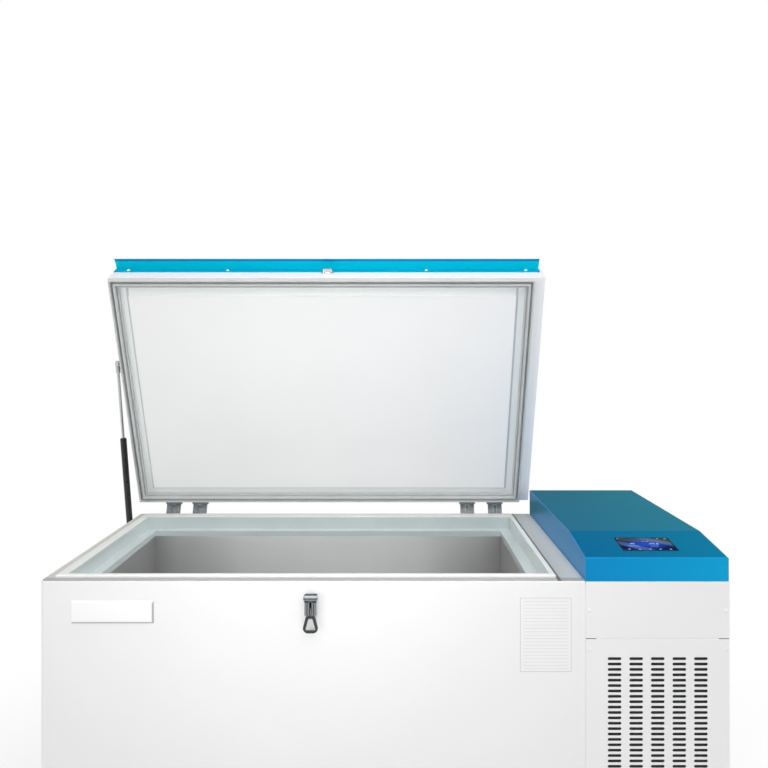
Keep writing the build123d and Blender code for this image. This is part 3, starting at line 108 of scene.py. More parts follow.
def linear(code):
    """Linear colour of an sRGB hex value."""
    channels = [int(code[i:i + 2], 16) / 255 for i in (0, 2, 4)]
    return [c / 12.92 if c <= 0.04045 else ((c + 0.055) / 1.055) ** 2.4 for c in channels]


def rgba(colour):
    """The colour with a full alpha."""
    return (*colour, 1.0)


# Sizes and colours that a user would change


def length(label, text, millimetres):
    """Setting for a size, given in millimetres and shown in the scene's unit."""
    return bpy.props.FloatProperty(
        name=label, description=text, default=millimetres * MM, unit="LENGTH", subtype="DISTANCE"
    )


def tint(label, text, code):
    """Setting for a colour, given as an sRGB hex value."""
    return bpy.props.FloatVectorProperty(
        name=label, description=text, default=linear(code), size=3, min=0.0, max=1.0, subtype="COLOR"
    )


class FreezerColours(bpy.types.PropertyGroup):
    """Colours of the finishes"""

    body: tint("Cabinet", "Powder coat of the cabinet, the lid and the panels", "F1F1F1")
    blue: tint("Blue", "Enamel of the machine section's cover", "0090CC")
    trim: tint("Trim", "Enamel of the lid's hand grip", "04D0E0")
    panel: tint("Lid panel", "Moulded inner panel of the lid", "F6F6F6")
    collar: tint("Collar", "Moulded collar in the mouth", "D4DEDE")
    steel: tint("Liner", "Brushed stainless steel of the tub", "FFFFFF")
    seal: tint("Seal", "Silicone rubber of the lid's seal", "CACCCC")
    screen: tint("Screen", "Lit middle of the touch panel", "2446A8")


class FreezerSizes(bpy.types.PropertyGroup):
    """Sizes and places of the small fittings"""

    plate_w: length("Nameplate width", "Width of the bare nameplate", 180)
    plate_h: length("Nameplate height", "Height of the bare nameplate", 49)
    plate_x: length("Nameplate place", "Nameplate's left edge, from the cabinet's left side", 68.5)
    plate_down: length("Nameplate drop", "Nameplate's top edge, below the cabinet's top", 42)
    card_w: length("Card width", "Width of the blank service card", 111)
    card_h: length("Card height", "Height of the blank service card", 160)
    card_x: length("Card place", "Card's left edge, from the cabinet's left side", 1044.6)
    card_down: length("Card drop", "Card's top edge, below the cabinet's top", 36)
    cap_r: length("Cap radius", "Radius of the screw caps on the machine section", 5)
    screw_r: length("Screw radius", "Radius of the pan heads on the sheet metal", 4)


class FreezerStage(bpy.types.PropertyGroup):
    """Camera and light"""

    lens: bpy.props.FloatProperty(
        name="Lens", description="Focal length on a 36 mm sensor, in mm", default=38.28, min=10.0
    )
    distance: length("Camera distance", "Camera in front of the cabinet's front", 1774.5)
    height: length("Camera height", "Camera above the cabinet's top", 510)
    offset: length("Camera offset", "Camera to the right of the cabinet's left side", 763.8)
    fill: bpy.props.FloatProperty(
        name="Fill", description="Strength of the even light from all round", default=0.56, min=0.0
    )
    key: bpy.props.FloatProperty(
        name="Key", description="Power of the large soft lamp in front, in watts", default=40.0, min=0.0
    )


# Mesh helpers


def finish_piece(name, bm, material, body, smooth=35.0, replaced=()):
    """Makes an object of a mesh, gives it its finish and lets it ride on a body."""
    bmesh.ops.remove_doubles(bm, verts=bm.verts, dist=1e-6)
    bmesh.ops.recalc_face_normals(bm, faces=bm.faces)
    mesh = bpy.data.meshes.new(name)
    bm.to_mesh(mesh)
    bm.free()
    piece = bpy.data.objects.new(name, mesh)
    bpy.context.scene.collection.objects.link(piece)
    if smooth:
        mesh.shade_smooth()
        mesh.set_sharp_from_angle(angle=math.radians(smooth))
    mesh.materials.append(material)
    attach(piece, body)
    if replaced:
        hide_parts(*replaced)
    return piece


def add_block(bm, low, high, bevel=0.0, segments=3):
    """Box between two corners, with its edges rounded."""
    made = bmesh.ops.create_cube(bm, size=1.0)["verts"]
    bmesh.ops.scale(bm, vec=Vector(high) - Vector(low), verts=made)
    bmesh.ops.translate(bm, vec=(Vector(high) + Vector(low)) / 2, verts=made)
    if bevel:
        edges = list({e for v in made for e in v.link_edges})
        out = bmesh.ops.bevel(
            bm, geom=edges, offset=bevel, segments=segments, profile=0.5, affect="EDGES", material=-1
        )
        made = list({v for f in out["faces"] for v in f.verts})
    return made


def add_turned(bm, outline, place, steps=24):
    """Shape turned about Z from radius and height pairs, then put in place."""
    verts = [bm.verts.new((r, 0, z)) for r, z in outline]
    edges = [bm.edges.new(pair) for pair in zip(verts, verts[1:])]
    out = bmesh.ops.spin(
        bm, geom=verts + edges, cent=(0, 0, 0), axis=(0, 0, 1), angle=math.tau, steps=steps, use_merge=True
    )
    last = {v for v in out["geom_last"] if isinstance(v, bmesh.types.BMVert)}
    island = spread(set(verts) | last)
    bmesh.ops.remove_doubles(bm, verts=list(island), dist=1e-6)
    island = [v for v in island if v.is_valid]
    bmesh.ops.transform(bm, matrix=place, verts=island)
    return island


def spread(verts):
    """All vertices that are joined to some by edges."""
    seen, queue = set(verts), list(verts)
    while queue:
        for edge in queue.pop().link_edges:
            for v in edge.verts:
                if v not in seen:
                    seen.add(v)
                    queue.append(v)
    return seen


def facing(point, out):
    """Matrix that stands a shape drawn up Z on a surface, at a point, along its outward direction."""
    return Matrix.Translation(Vector(point)) @ Vector(out).to_track_quat("Z", "Y").to_matrix().to_4x4()


def add_screw(bm, point, out, radius):
    """Pan head with a hexagon socket, sunk a little in what it holds."""
    tall = radius * 0.55
    sunk = -0.3 * MM
    place = facing(point, out)
    rim = [(radius, sunk), (radius, tall * 0.3), (radius * 0.86, tall * 0.75), (radius * 0.5, tall)]
    dome = add_turned(bm, rim, Matrix.Identity(4), 24)
    top = [e for v in dome for e in v.link_edges if all(abs(w.co.z - tall) < 1e-7 for w in e.verts)]
    hexagon = bmesh.ops.create_circle(bm, radius=radius * 0.3, segments=6, cap_ends=False)["verts"]
    bmesh.ops.translate(bm, vec=(0, 0, tall), verts=hexagon)
    six = list({e for v in hexagon for e in v.link_edges})
    bmesh.ops.bridge_loops(bm, edges=list(set(top)) + six)
    low = bmesh.ops.extrude_edge_only(bm, edges=six)["geom"]
    floor = [g for g in low if isinstance(g, bmesh.types.BMVert)]
    bmesh.ops.translate(bm, vec=(0, 0, -tall * 0.6), verts=floor)
    bmesh.ops.contextual_create(bm, geom=[g for g in low if isinstance(g, bmesh.types.BMEdge)])
    under = [e for v in dome for e in v.link_edges if all(abs(w.co.z - sunk) < 1e-7 for w in e.verts)]
    bmesh.ops.contextual_create(bm, geom=list(set(under)))
    bmesh.ops.transform(bm, matrix=place, verts=dome + hexagon + floor)


def add_mitred_ring(bm, profile, low, high):
    """Profile of inward and upward pairs, run round a rectangle with mitred corners."""
    mid = (Vector(low) + Vector(high)) / 2
    half = (Vector(high) - Vector(low)) / 2
    for side, (run, deep) in enumerate(((half.x, half.y), (half.y, half.x)) * 2):
        verts = [bm.verts.new((-run, -deep + inward, up)) for inward, up in profile]
        edges = [bm.edges.new((a, b)) for a, b in zip(verts, verts[1:] + verts[:1])]
        moved = bmesh.ops.extrude_edge_only(bm, edges=edges)["geom"]
        ends = [g for g in moved if isinstance(g, bmesh.types.BMVert)]
        bmesh.ops.translate(bm, vec=(2 * run, 0, 0), verts=ends)
        for near, far, sign in ((-1, 1, 1), (1, -1, -1)):
            side_verts = spread(set(verts) | set(v for v in ends if v.is_valid))
            geom = list(side_verts) + list({e for v in side_verts for e in v.link_edges})
            geom += list({f for v in side_verts for f in v.link_faces})
            corner = Vector((near * run, -deep, 0))
            bmesh.ops.bisect_plane(
                bm, geom=geom, dist=1e-7, plane_co=corner, plane_no=(-sign, 1, 0), clear_outer=True
            )
            verts = [v for v in side_verts if v.is_valid]
            ends = []
        piece = spread(set(verts))
        turn = Matrix.Rotation(side * math.pi / 2, 4, "Z")
        bmesh.ops.transform(bm, matrix=Matrix.Translation((mid.x, mid.y, 0)) @ turn, verts=list(piece))
    bmesh.ops.remove_doubles(bm, verts=bm.verts, dist=2e-6)


# Material helpers


def add_node(tree, kind, inputs=None, stops=(), **settings):
    """Adds a shader node with its settings; an input is a value or another node's output.

    stops, if given, are the places and colours of a colour ramp.
    """
    node = tree.nodes.new("ShaderNode" + kind)
    for key, value in settings.items():
        setattr(node, key, value)
    for key, value in (inputs or {}).items():
        if isinstance(value, bpy.types.NodeSocket):
            tree.links.new(value, node.inputs[key])
        else:
            node.inputs[key].default_value = value
    for _ in stops[2:]:
        node.color_ramp.elements.new(0.5)
    for number, (at, colour) in enumerate(stops):
        node.color_ramp.elements[number].position = at
        node.color_ramp.elements[number].color = rgba(colour)
    return node


def new_material(name):
    """Empty material with its tree and a vector of Object coordinates."""
    material = bpy.data.materials.new(name)
    material.use_nodes = True
    tree = material.node_tree
    tree.nodes.clear()
    place = add_node(tree, "TexCoord").outputs["Object"]
    return material, tree, place


def per_metre(millimetres):
    """Scale of a pattern whose marks are that many millimetres apart."""
    return 1000.0 / millimetres


def shade(colour, factor):
    """The colour made lighter or darker."""
    return [min(1.0, c * factor) for c in colour]


def close_surface(material, tree, inputs):
    """Ends a material's tree with its surface shader."""
    shader = add_node(tree, "BsdfPrincipled", inputs)
    add_node(tree, "OutputMaterial", {"Surface": shader.outputs["BSDF"]})
    return material


def along(tree, place, axis, stops):
    """Colour that changes along one axis, between places in metres."""
    low, high = stops[0][0], stops[-1][0]
    part = add_node(tree, "SeparateXYZ", {"Vector": place}).outputs[axis]
    run = add_node(tree, "MapRange", {"Value": part, "From Min": low, "From Max": high})
    shares = [((at - low) / (high - low), colour) for at, colour in stops]
    return add_node(tree, "ValToRGB", {"Fac": run.outputs["Result"]}, shares).outputs["Color"]


def grained(
    name, colour, grain, depth, rough, patch=220.0, vary=0.03, stretch=(1, 1, 1), tinted=None, **sockets
):
    """Finish with a fine grain in its bump and roughness, and a slow change of tone over larger patches.

    grain and patch are the marks' real sizes in millimetres, and depth is the grain's relief. Where depth
    is 0, the gloss is even too. tinted, if given, makes the colour that the finish is multiplied by from
    the tree and the place.
    """
    material, tree, place = new_material(name)
    run = add_node(tree, "Mapping", {"Vector": place, "Scale": stretch}).outputs["Vector"]
    fine = add_node(tree, "TexNoise", {"Vector": run, "Scale": per_metre(grain), "Detail": 3.0})
    slow = add_node(tree, "TexNoise", {"Vector": place, "Scale": per_metre(patch), "Detail": 2.0})
    tones = ((0.3, shade(colour, 1 - vary)), (0.7, shade(colour, 1 + vary)))
    tone = add_node(tree, "ValToRGB", {"Fac": slow.outputs["Fac"]}, tones).outputs["Color"]
    if tinted:
        layers = {"Factor": 1.0, "A": tone, "B": tinted(tree, place)}
        tone = add_node(tree, "Mix", layers, data_type="RGBA", blend_type="MULTIPLY").outputs["Result"]
    inputs = {"Base Color": tone, "Roughness": rough}
    if depth:
        gloss = add_node(
            tree, "MapRange",
            {"Value": fine.outputs["Fac"], "From Min": 0.3, "From Max": 0.7,
             "To Min": rough * 0.85, "To Max": rough * 1.15},
        )
        inputs["Roughness"] = gloss.outputs["Result"]
        bump = add_node(
            tree, "Bump", {"Height": fine.outputs["Fac"], "Strength": 0.5, "Distance": depth * MM}
        )
        inputs["Normal"] = bump.outputs["Normal"]
    inputs.update({key.replace("_", " "): value for key, value in sockets.items()})
    return close_surface(material, tree, inputs)


def screen_material(colour):
    """Lit liquid crystal panel under glass: a glow across its middle, dark towards its edges."""
    material, tree, place = new_material("touch_panel_lit_lcd")
    size = SCREEN_HIGH - SCREEN_LOW
    centre = (SCREEN_LOW + SCREEN_HIGH) / 2
    # The glow ends a little inside the panel's edges
    scale = Vector((2.2 / size.x, 2.2 / size.y, 0))
    centred = add_node(
        tree, "Mapping",
        {"Vector": place, "Location": (-centre.x * scale.x, -centre.y * scale.y, 0), "Scale": scale},
    )
    glow = add_node(tree, "TexGradient", {"Vector": centred.outputs["Vector"]}, gradient_type="SPHERICAL")
    swirl = add_node(
        tree, "TexWave",
        {"Vector": centred.outputs["Vector"], "Scale": 0.35, "Distortion": 2.0, "Detail": 0.0},
        bands_direction="DIAGONAL",
    )
    deep, mid = shade(colour, 0.16), shade(colour, 0.55)
    base = add_node(tree, "ValToRGB", {"Fac": glow.outputs["Fac"]}, ((0.0, deep), (0.35, mid), (1.0, colour)))
    sweep = ((0.55, (0, 0, 0)), (1.0, (0.05, 0.07, 0.13)))
    light = add_node(tree, "ValToRGB", {"Fac": swirl.outputs["Fac"]}, sweep)
    layers = {"Factor": 1.0, "A": base.outputs["Color"], "B": light.outputs["Color"]}
    picture = add_node(tree, "Mix", layers, data_type="RGBA", blend_type="ADD").outputs["Result"]
    inputs = {
        "Base Color": picture, "Emission Color": picture,
        "Emission Strength": 0.5, "Roughness": 0.12, "Coat Weight": 0.2,
    }
    return close_surface(material, tree, inputs)


def cover_painted_light(tree, place):
    """Painted light on the cover's enamel: a little lighter towards its outer end."""
    return along(tree, place, "X", ((COVER_LOW.x, (1.0, 0.88, 0.92)), (COVER_HIGH.x, (1.0, 1.25, 1.08))))


def grip_painted_shade(tree, place):
    """Painted shade on the grip's enamel: deeper on the hem above and the flange below, the faces that get
    less light.
    """
    low, high = (corner.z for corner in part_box("lid_handle_trim"))
    crease = low + (high - low) * 0.27
    hem = high - (high - low) * 0.17
    flange, plain, edge = (1.0, 0.74, 0.94), (1, 1, 1), (1.0, 0.45, 0.74)
    half = 0.5 * MM
    stops = (
        (low, flange), (crease - half, flange), (crease + half, plain),
        (hem - half, plain), (hem + half, edge), (high, edge),
    )
    return along(tree, place, "Z", stops)


def tub_painted_shade(tree, place):
    """Stainless with painted shade: darker towards the tub's ends, where shade falls in its corners."""
    low, high = (corner.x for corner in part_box("inner_liner"))
    end_shade, soft, plain = (0.45, 0.45, 0.45), (0.72, 0.72, 0.72), (1, 1, 1)
    near, far = 80 * MM, 260 * MM
    stops = (
        (low, end_shade), (low + near, soft), (low + far, plain),
        (high - far, plain), (high - near, soft), (high, end_shade),
    )
    return along(tree, place, "X", stops)


def seat_painted_shade(tree, place):
    """The seat's vinyl with painted shade: a dark painted shadow beside the rim at its right, and painted
    shade in front.
    """
    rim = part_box("rim_frame")[1].x
    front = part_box("rim_frame")[0].y
    rim_shadow, shaded, plain = (0.3, 0.31, 0.3), (0.84, 0.83, 0.81), (1.0, 0.98, 0.95)
    beside = (
        (rim, plain), (rim + 0.4 * MM, rim_shadow), (rim + 7.5 * MM, rim_shadow),
        (rim + 9 * MM, shaded), (rim + 44 * MM, plain),
    )
    before = ((front - 0.2 * MM, (0.7, 0.71, 0.71)), (front + 0.2 * MM, (1, 1, 1)))
    layers = {"Factor": 1.0, "A": along(tree, place, "X", beside), "B": along(tree, place, "Y", before)}
    return add_node(tree, "Mix", layers, data_type="RGBA", blend_type="MULTIPLY").outputs["Result"]


def lid_panel_painted_shade(tree, place):
    """The lid's panel: a cooler border, with a painted grey shadow at the foot of the raised middle, except
    in front.
    """
    shut = OPEN_LID.inverted()
    spots = [shut @ v.co for v in frame["nodes"]["lid_inner_panel"].data.vertices]
    face = min(spot.z for spot in spots) + 0.3 * MM
    raised = [spot for spot in spots if spot.z < face]
    low = Vector((min(spot.x for spot in raised), min(spot.y for spot in raised), 0))
    high = Vector((max(spot.x for spot in raised), max(spot.y for spot in raised), 0))
    half, middle = (high - low) / 2, (high + low) / 2
    flat = add_node(
        tree, "Mapping",
        {"Vector": place, "Location": shut.translation - middle, "Rotation": shut.to_euler()},
    )
    out = add_node(tree, "VectorMath", {0: flat.outputs["Vector"]}, operation="ABSOLUTE")
    past = add_node(tree, "VectorMath", {0: out.outputs["Vector"], 1: half}, operation="SUBTRACT")
    parts = add_node(tree, "SeparateXYZ", {"Vector": past.outputs["Vector"]})
    signed = add_node(tree, "SeparateXYZ", {"Vector": flat.outputs["Vector"]})
    back = add_node(tree, "Math", {0: signed.outputs["Y"], 1: half.y}, operation="SUBTRACT")
    beside = add_node(tree, "Math", {0: parts.outputs["X"], 1: back.outputs["Value"]}, operation="MAXIMUM")
    run = add_node(tree, "MapRange", {"Value": beside.outputs["Value"], "From Min": 0.0, "From Max": 10 * MM})
    # The crease colour is painted shade, where the raised middle shades the border at its foot
    plain, crease, border = (1, 1, 1), (0.6, 0.65, 0.67), (0.95, 0.98, 0.97)
    stops = ((0.0, plain), (0.03, crease), (0.55, crease), (0.7, border))
    foot_shadow = add_node(tree, "ValToRGB", {"Fac": run.outputs["Result"]}, stops)
    front = add_node(tree, "MapRange", {"Value": parts.outputs["Y"], "From Min": 0.0, "From Max": 1 * MM})
    edged = add_node(tree, "ValToRGB", {"Fac": front.outputs["Result"]}, ((0.0, plain), (1.0, border)))
    layers = {"Factor": 1.0, "A": foot_shadow.outputs["Color"], "B": edged.outputs["Color"]}
    return add_node(tree, "Mix", layers, data_type="RGBA", blend_type="DARKEN").outputs["Result"]


def make_materials(colours):
    """Every finish of the freezer, each named for what the real one is."""
    white = list(colours.body)
    return {
        # Polyester powder coat, sprayed and baked: satin, with a faint orange peel drawn at 3 mm
        "powder_coat": grained("white_polyester_powder_coat", white, 3.0, 0.012, 0.42, vary=0.008),
        # Stoved enamel over the folded cover: smooth and glossy, with no relief that could be seen
        "blue_enamel": grained(
            "blue_stoved_enamel", list(colours.blue), 4.0, 0, 0.3, vary=0.008, tinted=cover_painted_light,
            Metallic=0.45, Specular_IOR_Level=0.2,
        ),
        # The same enamel on the lid's grip, in a lighter blue
        "trim_enamel": grained(
            "light_blue_stoved_enamel", list(colours.trim), 4.0, 0, 0.3, vary=0.008, tinted=grip_painted_shade,
            Metallic=0.45, Specular_IOR_Level=0.2,
        ),
        # Vacuum formed polystyrene: soft sheen and a leathery micro grain
        "white_styrene": grained(
            "vacuum_formed_white_polystyrene", list(colours.panel), 1.6, 0.05, 0.5, vary=0.01,
            tinted=lid_panel_painted_shade,
        ),
        # Pultruded fibreglass rail, sprayed white, smoother than the sheet beside it
        "rim_rail": grained("white_pultruded_rail", linear("FBFBFB"), 2.0, 0.02, 0.35, vary=0.006),
        # Extruded vinyl seat that the lid's seal lands on, light grey with a faint sheen
        "seat": grained(
            "light_grey_vinyl_extrusion", linear("D6D9D9"), 2.0, 0.02, 0.5, 90.0, 0.015, tinted=seat_painted_shade,
            Specular_IOR_Level=0.25,
        ),
        # Injection moulded polycarbonate collar, cool grey and glossy enough to mirror its ledge
        "collar": grained(
            "grey_blue_polycarbonate_moulding", list(colours.collar), 6.0, 0.02, 0.2, 90.0, 0.03,
            Coat_Weight=0.3,
        ),
        # Stainless sheet brushed along the tub's sides, the brush marks drawn at 1.5 mm
        "stainless": grained(
            "brushed_stainless_steel", list(colours.steel), 1.5, 0.02, 0.46, 160.0, 0.06, (0.02, 0.02, 1),
            tinted=tub_painted_shade, Metallic=0.85,
        ),
        # Silicone extrusion, soft and slightly dusty
        "seal": grained("grey_silicone_rubber", list(colours.seal), 2.0, 0.05, 0.62, 60.0, 0.03),
        # EPDM rubber, near black and dull
        "dark_rubber": grained("black_epdm_rubber", linear("1E1F20"), 1.2, 0.08, 0.75, 30.0, 0.1),
        # Die cast zinc under bright chrome, with the waviness of polished castings
        "chrome": grained(
            "chrome_plated_zinc_casting", linear("8A8E91"), 9.0, 0.12, 0.12, 40.0, 0.06, Metallic=1.0
        ),
        # The same plating where it is flat and bright, on the keeper
        "bright_chrome": grained(
            "bright_chrome_plated_steel", linear("DADCDD"), 9.0, 0.02, 0.3, 40.0, 0.04, Metallic=1.0
        ),
        # Smoked chrome over the steel hinges, duller than the latch's, with vertical draw marks
        "dark_chrome": grained(
            "smoked_chrome_plated_steel", linear("868D90"), 1.5, 0.06, 0.34, 6.0, 0.2, (1, 1, 0.1),
            Metallic=0.3,
        ),
        # Zinc plated pressed steel, pale and a little blue, with the grain of the press
        "zinc": grained("zinc_plated_steel", linear("A7ABAF"), 1.5, 0.05, 0.38, 25.0, 0.07, Metallic=1.0),
        # Hot dip galvanised sheet, its spangle about 12 mm across
        "galvanised": grained(
            "hot_dip_galvanised_sheet", linear("969A9C"), 12.0, 0.03, 0.45, 14.0, 0.12, Metallic=0.9
        ),
        # Grey wet paint on the welded base, a little coarse
        "grey_paint": grained("grey_machine_paint", linear("6E7275"), 2.5, 0.1, 0.5, 120.0, 0.04),
        # Black stoving enamel on the compressors, the tube and the vessels
        "black_paint": grained("black_stoved_enamel", linear("17181A"), 3.0, 0.06, 0.3, 80.0, 0.1),
        # Bright drawn steel rod, hard chromed and ground
        "rod": grained(
            "ground_hard_chrome_rod", linear("C4C6C8"), 0.8, 0.01, 0.14, 30.0, 0.03, (1, 1, 0.1), Metallic=1.0
        ),
        # Drawn copper tube, browned where it was brazed
        "copper": grained("drawn_copper_tube", linear("B5714C"), 5.0, 0.04, 0.3, 45.0, 0.22, Metallic=1.0),
        # Fin stock under a thin black corrosion coat; its near black also stands in for the shade seen
        # through the front's slots
        "fins": grained(
            "epoxy_coated_aluminium_fins", linear("2B2D2F"), 1.0, 0.04, 0.5, 40.0, 0.1, Metallic=0.3
        ),
        # Mill finish aluminium of the fan's blades
        "aluminium": grained(
            "pressed_aluminium", linear("B4B6B8"), 1.2, 0.03, 0.35, 60.0, 0.05, Metallic=1.0
        ),
        # Injection moulded black ABS, with a fine spark eroded texture
        "black_abs": grained("black_abs_moulding", linear("1B1C1D"), 1.2, 0.06, 0.45, 40.0, 0.08),
        # Grey ABS of the relay box
        "grey_abs": grained("grey_abs_moulding", linear("8C8F90"), 1.2, 0.06, 0.5, 50.0, 0.04),
        # Reticulated foam of the air filter, charcoal and open celled; its dark tone also stands in for the
        # shade behind the front's slots
        "filter_foam": grained("reticulated_filter_foam", linear("2A2C2E"), 1.6, 1.2, 0.9, 3.0, 0.35),
        # Polyurethane foam, poured in place between the sheet and the tub
        "foam": grained("poured_polyurethane_foam", linear("E3D4A4"), 2.5, 0.5, 0.9, 30.0, 0.08),
        # Thermoplastic rubber tread, dark grey with moulding scuffs
        "tread": grained("grey_thermoplastic_rubber", linear("4A4B4C"), 2.0, 0.12, 0.65, 22.0, 0.12),
        # Dark glass in front of the display, seen only at its rim
        "dark_glass": grained("dark_cover_glass", linear("14182A"), 30.0, 0.01, 0.08, 60.0, 0.05),
        # Printed film: white vinyl with a soft sheen
        "vinyl": grained("white_vinyl_film", linear("F2F2F2"), 5.0, 0.02, 0.35, 80.0, 0.01),
        # Printing ink on the film, mid grey
        "ink": grained("grey_screen_printing_ink", linear("B4B6B8"), 2.0, 0.01, 0.5, 20.0, 0.05),
        # Lit marks on the display
        "lit_marks": lit_material("lit_display_marks", linear("AFC0E8")),
        # Lit liquid crystal panel under its glass, deep blue with a paler middle
        "screen": screen_material(list(colours.screen)),
    }


def lit_material(name, colour):
    """Backlit pixels, brighter than the panel around them."""
    material, tree, place = new_material(name)
    pixels = add_node(tree, "TexNoise", {"Vector": place, "Scale": per_metre(1.0)})
    tones = ((0.2, shade(colour, 0.85)), (0.8, colour))
    tone = add_node(tree, "ValToRGB", {"Fac": pixels.outputs["Fac"]}, tones).outputs["Color"]
    return close_surface(
        material, tree,
        {"Base Color": tone, "Emission Color": tone, "Emission Strength": 0.7, "Roughness": 0.3},
    )


# Which finish each node of the frame takes
NODE_FINISH = {
    "powder_coat": (
        "cabinet_wrap", "cabinet_back_panel", "lid_shell", "upper_front_panel", "front_grille_panel",
        "right_side_panel", "machine_back_panel", "power_entry_panel",
    ),
    "blue_enamel": ("machine_cover",),
    "trim_enamel": ("lid_handle_trim",),
    "white_styrene": ("lid_inner_panel",),
    "rim_rail": ("rim_frame",),
    "collar": ("throat_collar",),
    "stainless": ("inner_liner",),
    "dark_rubber": ("compressor_grommets", "heat_exchanger"),
    "seal": ("lid_gasket",),
    "seat": ("rim_seal",),
    "chrome": ("latch_base", "latch_yoke", "latch_ring"),
    "bright_chrome": ("lid_catch",),
    "dark_chrome": ("hinge_lower_leaves", "hinge_upper_leaves"),
    "rod": ("gas_spring_rod",),
    "zinc": ("gas_spring_cabinet_stud", "gas_spring_lid_stud", "levelling_feet", "caster_mounts"),
    "galvanised": ("cabinet_bottom_pan", "machine_floor", "fan_shroud"),
    "grey_paint": ("base_frame",),
    "black_paint": (
        # The machine frame takes the black enamel so that it reads as the shade behind the front's slots
        "machine_frame", "gas_spring_cylinder", "compressor_high_stage", "compressor_low_stage",
        "fan_motor", "expansion_tank",
    ),
    "copper": ("evaporator_coil", "filter_driers", "refrigerant_tubes"),
    "fins": ("condenser",),
    "aluminium": ("fan_blades",),
    "black_abs": ("display_bezel", "power_inlet", "power_switch", "power_switch_rocker"),
    "grey_abs": ("control_box",),
    "foam": ("cabinet_foam", "lid_foam"),
    "dark_glass": ("display_module",),
}
CORNERS = ("front_left", "front_right", "back_left", "back_right")

MATERIALS = {}


def finish(name):
    """The finish of that name; all are made at the first call."""
    if not MATERIALS:
        MATERIALS.update(make_materials(bpy.context.scene.freezer_colours))
    return MATERIALS[name]


class FREEZER_OT_stage(bpy.types.Operator):
    """Floor, light and the camera at the front"""

    bl_idname = "freezer.stage"
    bl_label = "Stage and Camera"

    def execute(self, context):
        stage = context.scene.freezer_stage
        context.scene.view_settings.view_transform = "Standard"
        set_camera(context.scene, stage)
        set_world(context.scene, stage.fill)
        set_lamps(context.scene, stage.key)
        add_cards(context.scene)
        add_floor(context.scene)
        return {"FINISHED"}


def set_camera(scene, stage):
    """Level camera in front of the cabinet, shifted to the photograph's crop."""
    lens = bpy.data.cameras.new("camera")
    lens.lens = stage.lens
    lens.sensor_width = 36.0
    # The horizon stands above the middle of the frame, because the view is level and cropped
    lens.shift_x = -7.0 / PICTURE_SIDE
    lens.shift_y = -37.3 / PICTURE_SIDE
    lens.clip_end = 80.0
    camera = bpy.data.objects.new("camera", lens)
    camera.location = (X_LEFT + stage.offset, Y_FRONT - stage.distance, TOP_Z + stage.height)
    camera.rotation_euler = (math.pi / 2, 0, 0)
    scene.collection.objects.link(camera)
    scene.camera = camera


def seen_or_mirrored(tree):
    """One for a ray from the camera, through glass or off a glossy surface, and nought for the rest."""
    path = add_node(tree, "LightPath")
    seen = add_node(
        tree, "Math", {0: path.outputs["Is Camera Ray"], 1: path.outputs["Is Transmission Ray"]},
        operation="MAXIMUM",
    )
    both = add_node(
        tree, "Math", {0: seen.outputs["Value"], 1: path.outputs["Is Glossy Ray"]}, operation="MAXIMUM"
    )
    return both.outputs["Value"]


def set_world(scene, fill):
    """Even fill light, shown as plain white to the camera and in reflections."""
    world = bpy.data.worlds.new("studio")
    scene.world = world
    world.use_nodes = True
    tree = world.node_tree
    tree.nodes.clear()
    strength = add_node(tree, "MapRange", {"Value": seen_or_mirrored(tree), "To Min": fill, "To Max": 1.0})
    light = add_node(
        tree, "Background", {"Color": rgba((1, 1, 1)), "Strength": strength.outputs["Result"]}
    )
    add_node(tree, "OutputWorld", {"Surface": light.outputs["Background"]})


def set_lamps(scene, power):
    """Soft boxes, in metres: the key in front, one at each side, one above and a narrow one for the lid."""
    for name, place, aim, size, spread, share in (
        ("key", (0.0, -8.2, 1.2), (0, 0, 1.0), 3.2, 180.0, 0.35),
        ("side", (-7.6, -7.2, 0.95), (0, 0, 0.9), 0.45, 180.0, 3.7),
        ("right", (3.6, -1.0, 1.8), (0.2, 0.2, 1.2), 0.8, 180.0, 0.5),
        ("top", (0.15, -1.2, 3.2), (0, 0.2, 0.9), 1.8, 180.0, 0.68),
        ("lid", (-0.15, -2.7, 0.9), (-0.15, 0.3, 1.24), 0.7, 32.0, 0.02),
    ):
        lamp = bpy.data.lights.new(name, "AREA")
        lamp.energy = power * share
        lamp.size = size
        lamp.spread = math.radians(spread)
        holder = bpy.data.objects.new(name, lamp)
        holder.location = place
        holder.rotation_euler = (Vector(aim) - Vector(place)).to_track_quat("-Z", "Y").to_euler()
        scene.collection.objects.link(holder)


